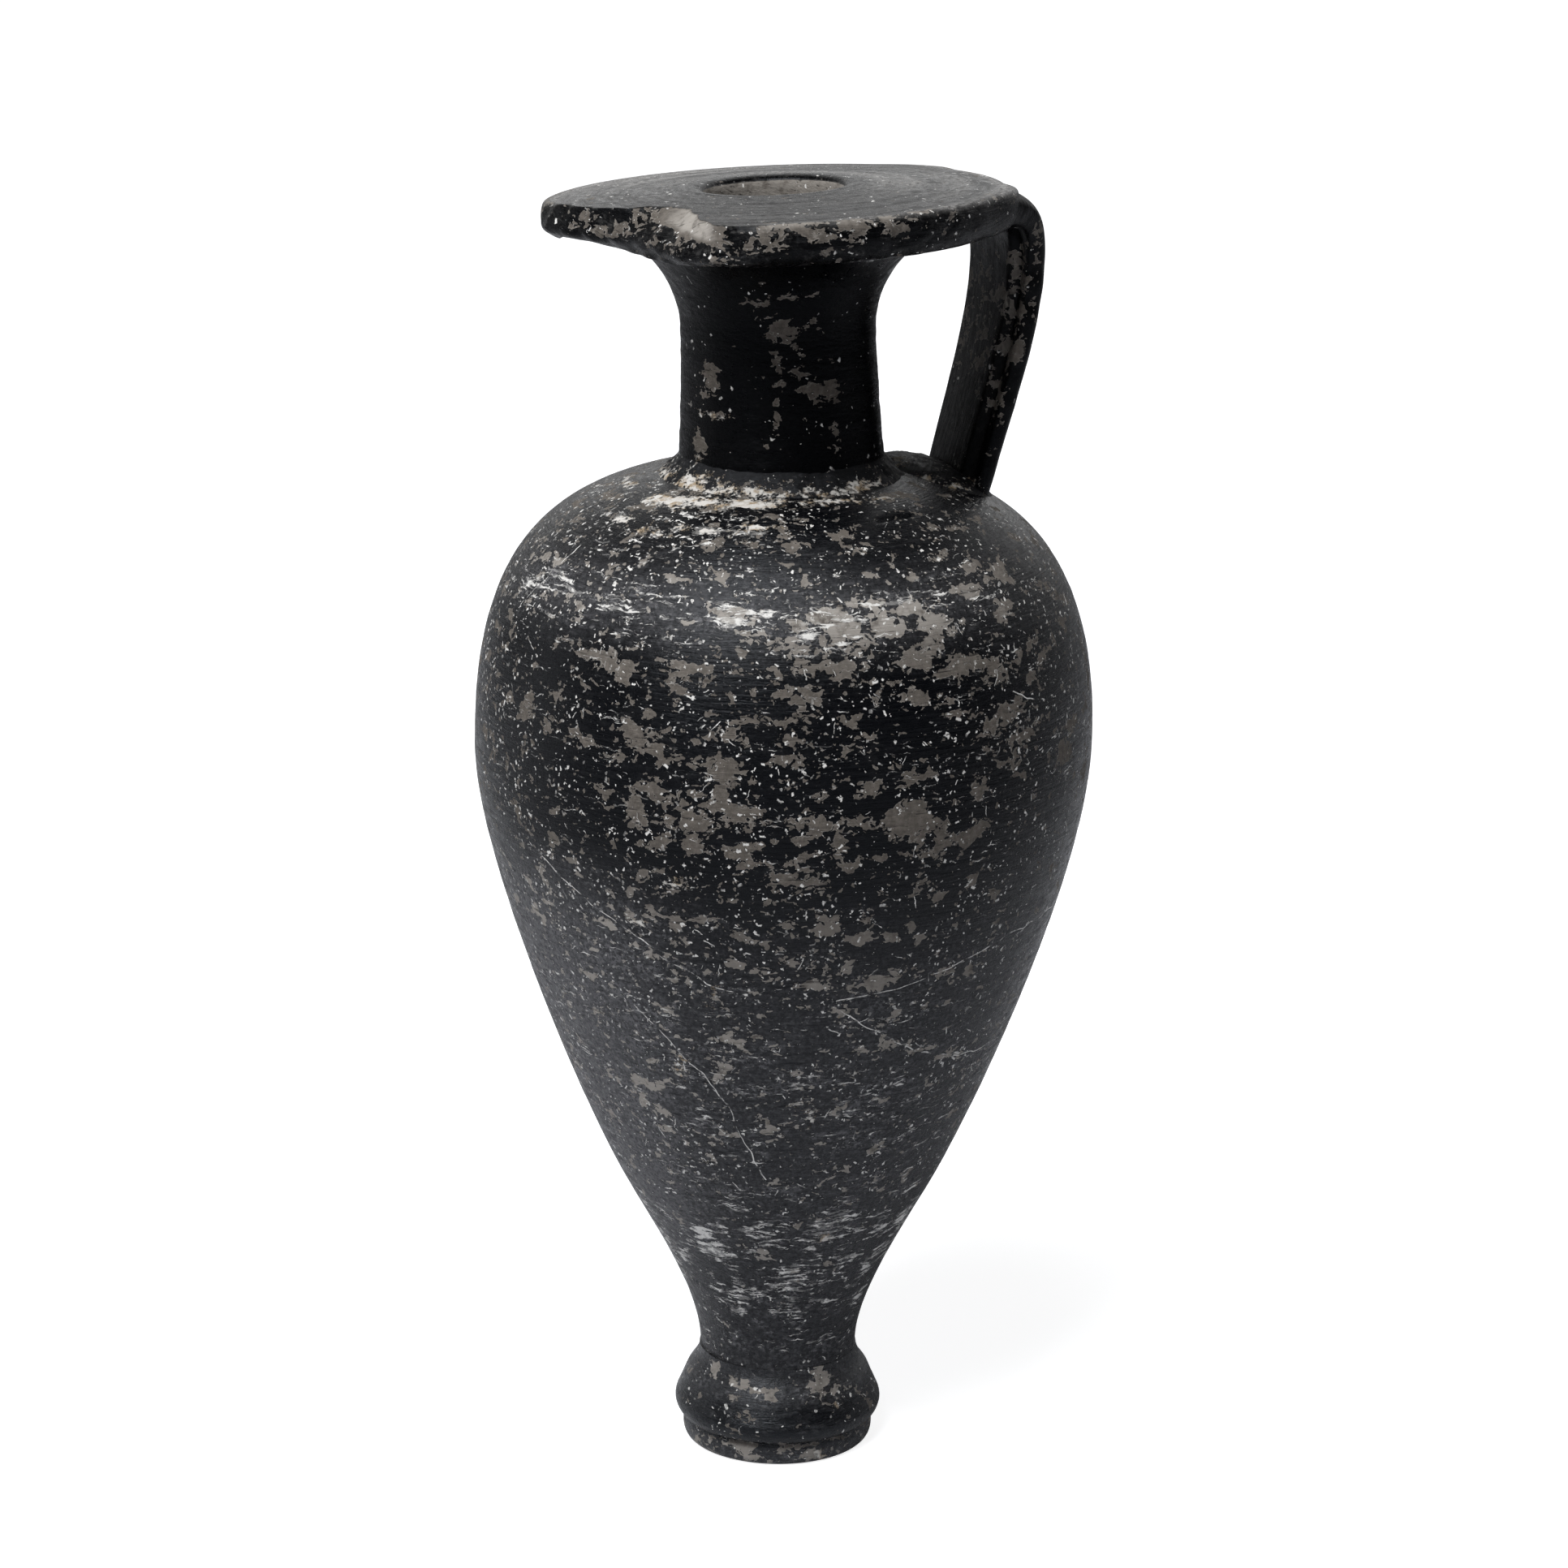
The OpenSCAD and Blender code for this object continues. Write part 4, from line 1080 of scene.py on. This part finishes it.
def strap_ring(at):
    """The strap's section at one point of its outer face."""
    way = (strap_path[min(at + 1, len(strap_path) - 1)] - strap_path[max(at - 1, 0)]).normalized()
    bend_share = min(at / bend_steps, 1)
    leg_share = max(at - bend_steps, 0) / leg_steps
    near = (1 - bend_share) ** 2
    wide = (1 - bend_share) ** 1.4
    half = (strap_w + (strap_root_w - strap_w) * wide + (strap_foot_w - strap_w) * leg_share) / 2
    thick = strap_t + (strap_root_t - strap_t) * near + (strap_foot_t - strap_t) * leg_share
    ring = []
    roll = math.tan(plate_tilt) * math.sin(plate_tilt_dir) * (1 - bend_share)
    for side, depth, drop in strap_section:
        ragged = 0.3 * noise.noise(Vector((at * 0.45, side * 2.0, 7.3))) * abs(side) ** 3
        p = strap_path[at] + (depth * thick - drop * edge_drop * (1 - near)) * Vector((way.y, -way.x))
        ring.append(Vector((p.x, side * half + ragged, p.y + roll * side * half)) * MM)
    return ring


strap = bmesh.new()
loop = bmesh.ops.create_circle(strap, cap_ends=True, segments=len(strap_section), radius=MM)["verts"]
for v, place in zip(loop, strap_ring(0)):
    v.co = place
ring_edges = list(strap.edges)
for at in range(1, len(strap_path)):
    grown = bmesh.ops.extrude_edge_only(strap, edges=ring_edges)["geom"]
    new_loop = [g for g in grown if isinstance(g, bmesh.types.BMVert)]
    ring_edges = [g for g in grown if isinstance(g, bmesh.types.BMEdge) and g.is_boundary]
    for v, place in zip(new_loop, strap_ring(at)):
        v.co = place
bmesh.ops.holes_fill(strap, edges=ring_edges, sides=0)
bmesh.ops.recalc_face_normals(strap, faces=strap.faces)
edge_flakes = [
    (26.9, 145.8, 0.5, 1.4), (25.4, 142.0, 0.6, 2.2), (25.0, 137.5, 0.7, 2.8), (24.5, 133.2, 1.0, 3.4),
    (23.3, 129.2, 0.7, 3.0), (22.6, 126.4, 0.4, 1.0), (27.0, 140.0, 0.3, 1.8), (22.4, 121.0, 0.4, 0.5),
    (27.6, 147.6, 0.5, 0.7),
]
paint(strap, "flake", [
    (Vector((x, side * strap_w / 2, z)), Vector((w, 0, 0)), Vector((0.12 * h, 0, h)))
    for x, z, w, h in edge_flakes for side in (-1, 1)
])
paint(strap, "earth", [(Vector((20.5, -7.2, 117.6)), Vector((1.2, 0, 0)), Vector((0, 0, 0.4)))])
dust_and_painted_sheen = strap.verts.layers.float.new("dust_and_painted_sheen")
for v in strap.verts:
    middle = smooth(6.9, 5.9, abs(v.co.y) / MM)
    v[dust_and_painted_sheen] = 0.3 * middle + 0.3 * smooth(strap_top_z - 3, strap_top_z, v.co.z / MM)
strap_slip = slipped_clay(
    "strap_slip", (0.0010, 0.0010, 0.0013), dust=0.1, wear=0.2, nicks=0.06, rough=0.36, shine=0.1,
    streaks=pulled_streaks, dust_and_sheen_colour=(0.040, 0.037, 0.033))
handle = as_piece(strap, "handle_strap", "handle", strap_slip, 180)
softened = handle.modifiers.new("softened", "SUBSURF")
softened.levels = 2
softened.render_levels = 2

# The clay round the handle's foot.
# Soft clay smeared with a wet finger over the strap's foot and across to the neck, to hold the
# handle on the shoulder. Earth has settled in its hollows.
pad_t = 1.3
pad_margin = 2.2
pad_from = neck_base_r - 0.6
pad_to = strap_foot_r + pad_margin
pad_half = strap_foot_w / 2 + pad_margin

pad = bmesh.new()
bmesh.ops.create_grid(pad, x_segments=64, y_segments=64, size=1)
under = bmesh.ops.extrude_face_region(pad, geom=list(pad.faces))["geom"]
lower = {g for g in under if isinstance(g, bmesh.types.BMVert)}
for v in pad.verts:
    u, w = v.co.x, v.co.y
    across, along = w * math.sqrt(1 - u * u / 2), u * math.sqrt(1 - w * w / 2)
    edge = math.hypot(across, along)
    x = (pad_from + pad_to) / 2 + along * (pad_to - pad_from) / 2
    y = across * (pad_half - 1.2 * smooth(17, 12, x))
    r = math.hypot(x, y)
    lump = noise.fractal(Vector((x * 0.7, y * 0.7, 2.2)), 0.9, 2.0, 4)
    rise = (pad_t + 0.16 * lump) * (1 - edge ** 3) - 0.28 * edge ** 6
    if v in lower:
        rise = -0.7
    v.co = Vector((x, y, shoulder_z(max(r, neck_base_r)) + rise)) * MM
bmesh.ops.recalc_face_normals(pad, faces=pad.faces)
mark(pad, "flake", neck_side, [])
paint(pad, "earth", [
    (Vector((14.0, -7.0, 118.9)), Vector((2.6, 0, 0)), Vector((0, 0.8, 0.2))),
    (Vector((17.5, -8.6, 118.4)), Vector((2.2, 0, 0)), Vector((0, 0.5, 0.2))),
    (Vector((13.2, -2.0, 119.6)), Vector((0.9, 0, 0)), Vector((0, 1.6, 0.2))),
    (Vector((15.0, 7.5, 118.9)), Vector((2.6, 0, 0)), Vector((0, 0.8, 0.2))),
])
pad_clay = slipped_clay(
    "pad_clay", (0.003, 0.003, 0.0034), dust=0.25, wear=0.75, nicks=0.25, rough=0.6, shine=0.2)
as_piece(pad, "handle_pad_smeared", "handle_pad", pad_clay, 70)

# The floor and the light.
# A wide sheet of white paper with a white cloth lit behind it, in a dim room, with two faint soft
# boxes at the sides and one above. The camera sees the paper and the room as white.
floor_shape = bmesh.new()
bmesh.ops.create_circle(floor_shape, cap_ends=True, segments=64, radius=6)
floor_mesh = bpy.data.meshes.new("floor")
floor_shape.to_mesh(floor_mesh)
floor_shape.free()
floor = bpy.data.objects.new("floor", floor_mesh)
scene.collection.objects.link(floor)

paper = bpy.data.materials.new("white_paper")
paper.use_nodes = True
tree = paper.node_tree
face = tree.nodes["Principled BSDF"]
face.inputs["Base Color"].default_value = (0.56, 0.57, 0.6, 1)
face.inputs["Roughness"].default_value = 0.9
face.inputs["Specular IOR Level"].default_value = 0
face.inputs["Emission Color"].default_value = (1, 1, 1, 1)
rays = tree.nodes.new("ShaderNodeLightPath")
distance = vectors(tree, "LENGTH", tree.nodes.new("ShaderNodeTexCoord").outputs["Object"])
glow = times(tree, rays.outputs["Is Camera Ray"], ease(tree, distance, 0.08, 0.6, 0.85, 1))
feed(tree, face.inputs["Emission Strength"], glow)
floor_mesh.materials.append(paper)

world = bpy.data.worlds.new("white_room")
scene.world = world
world.use_nodes = True
tree = world.node_tree
sky = tree.nodes["Background"]
sky.inputs["Color"].default_value = (1, 1, 1, 1)
rays = tree.nodes.new("ShaderNodeLightPath")
seen = maths(tree, "MAXIMUM", rays.outputs["Is Camera Ray"], rays.outputs["Is Transmission Ray"])
behind = Matrix.Rotation(view_turn, 3, "Z") @ Vector((0.05, 0.97, 0.22))
way = tree.nodes.new("ShaderNodeTexCoord").outputs["Generated"]
towards = vectors(tree, "DOT_PRODUCT", way, tuple(behind))
around_room = ease(tree, towards, 0.66, 0.97, 0.02, 0.85)
feed(tree, sky.inputs["Strength"], maths(tree, "MAXIMUM", around_room, seen))


def soft_box(name, place, size, watts):
    """A square lamp that faces the middle of the flask."""
    lamp = bpy.data.lights.new(name, "AREA")
    lamp.shape = "SQUARE"
    lamp.size = size
    lamp.energy = watts
    box = bpy.data.objects.new(name, lamp)
    box.location = Matrix.Rotation(view_turn, 3, "Z") @ Vector(place)
    box.rotation_euler = (Vector((0, 0, 0.08)) - box.location).to_track_quat("-Z", "Y").to_euler()
    scene.collection.objects.link(box)


soft_box("box_left", (-0.95, 0.2, 0.4), 0.3, 1.2)
soft_box("box_right", (0.8, 0.5, 0.5), 0.3, 0.8)
soft_box("box_above", (-0.25, -0.4, 0.9), 0.5, 12)
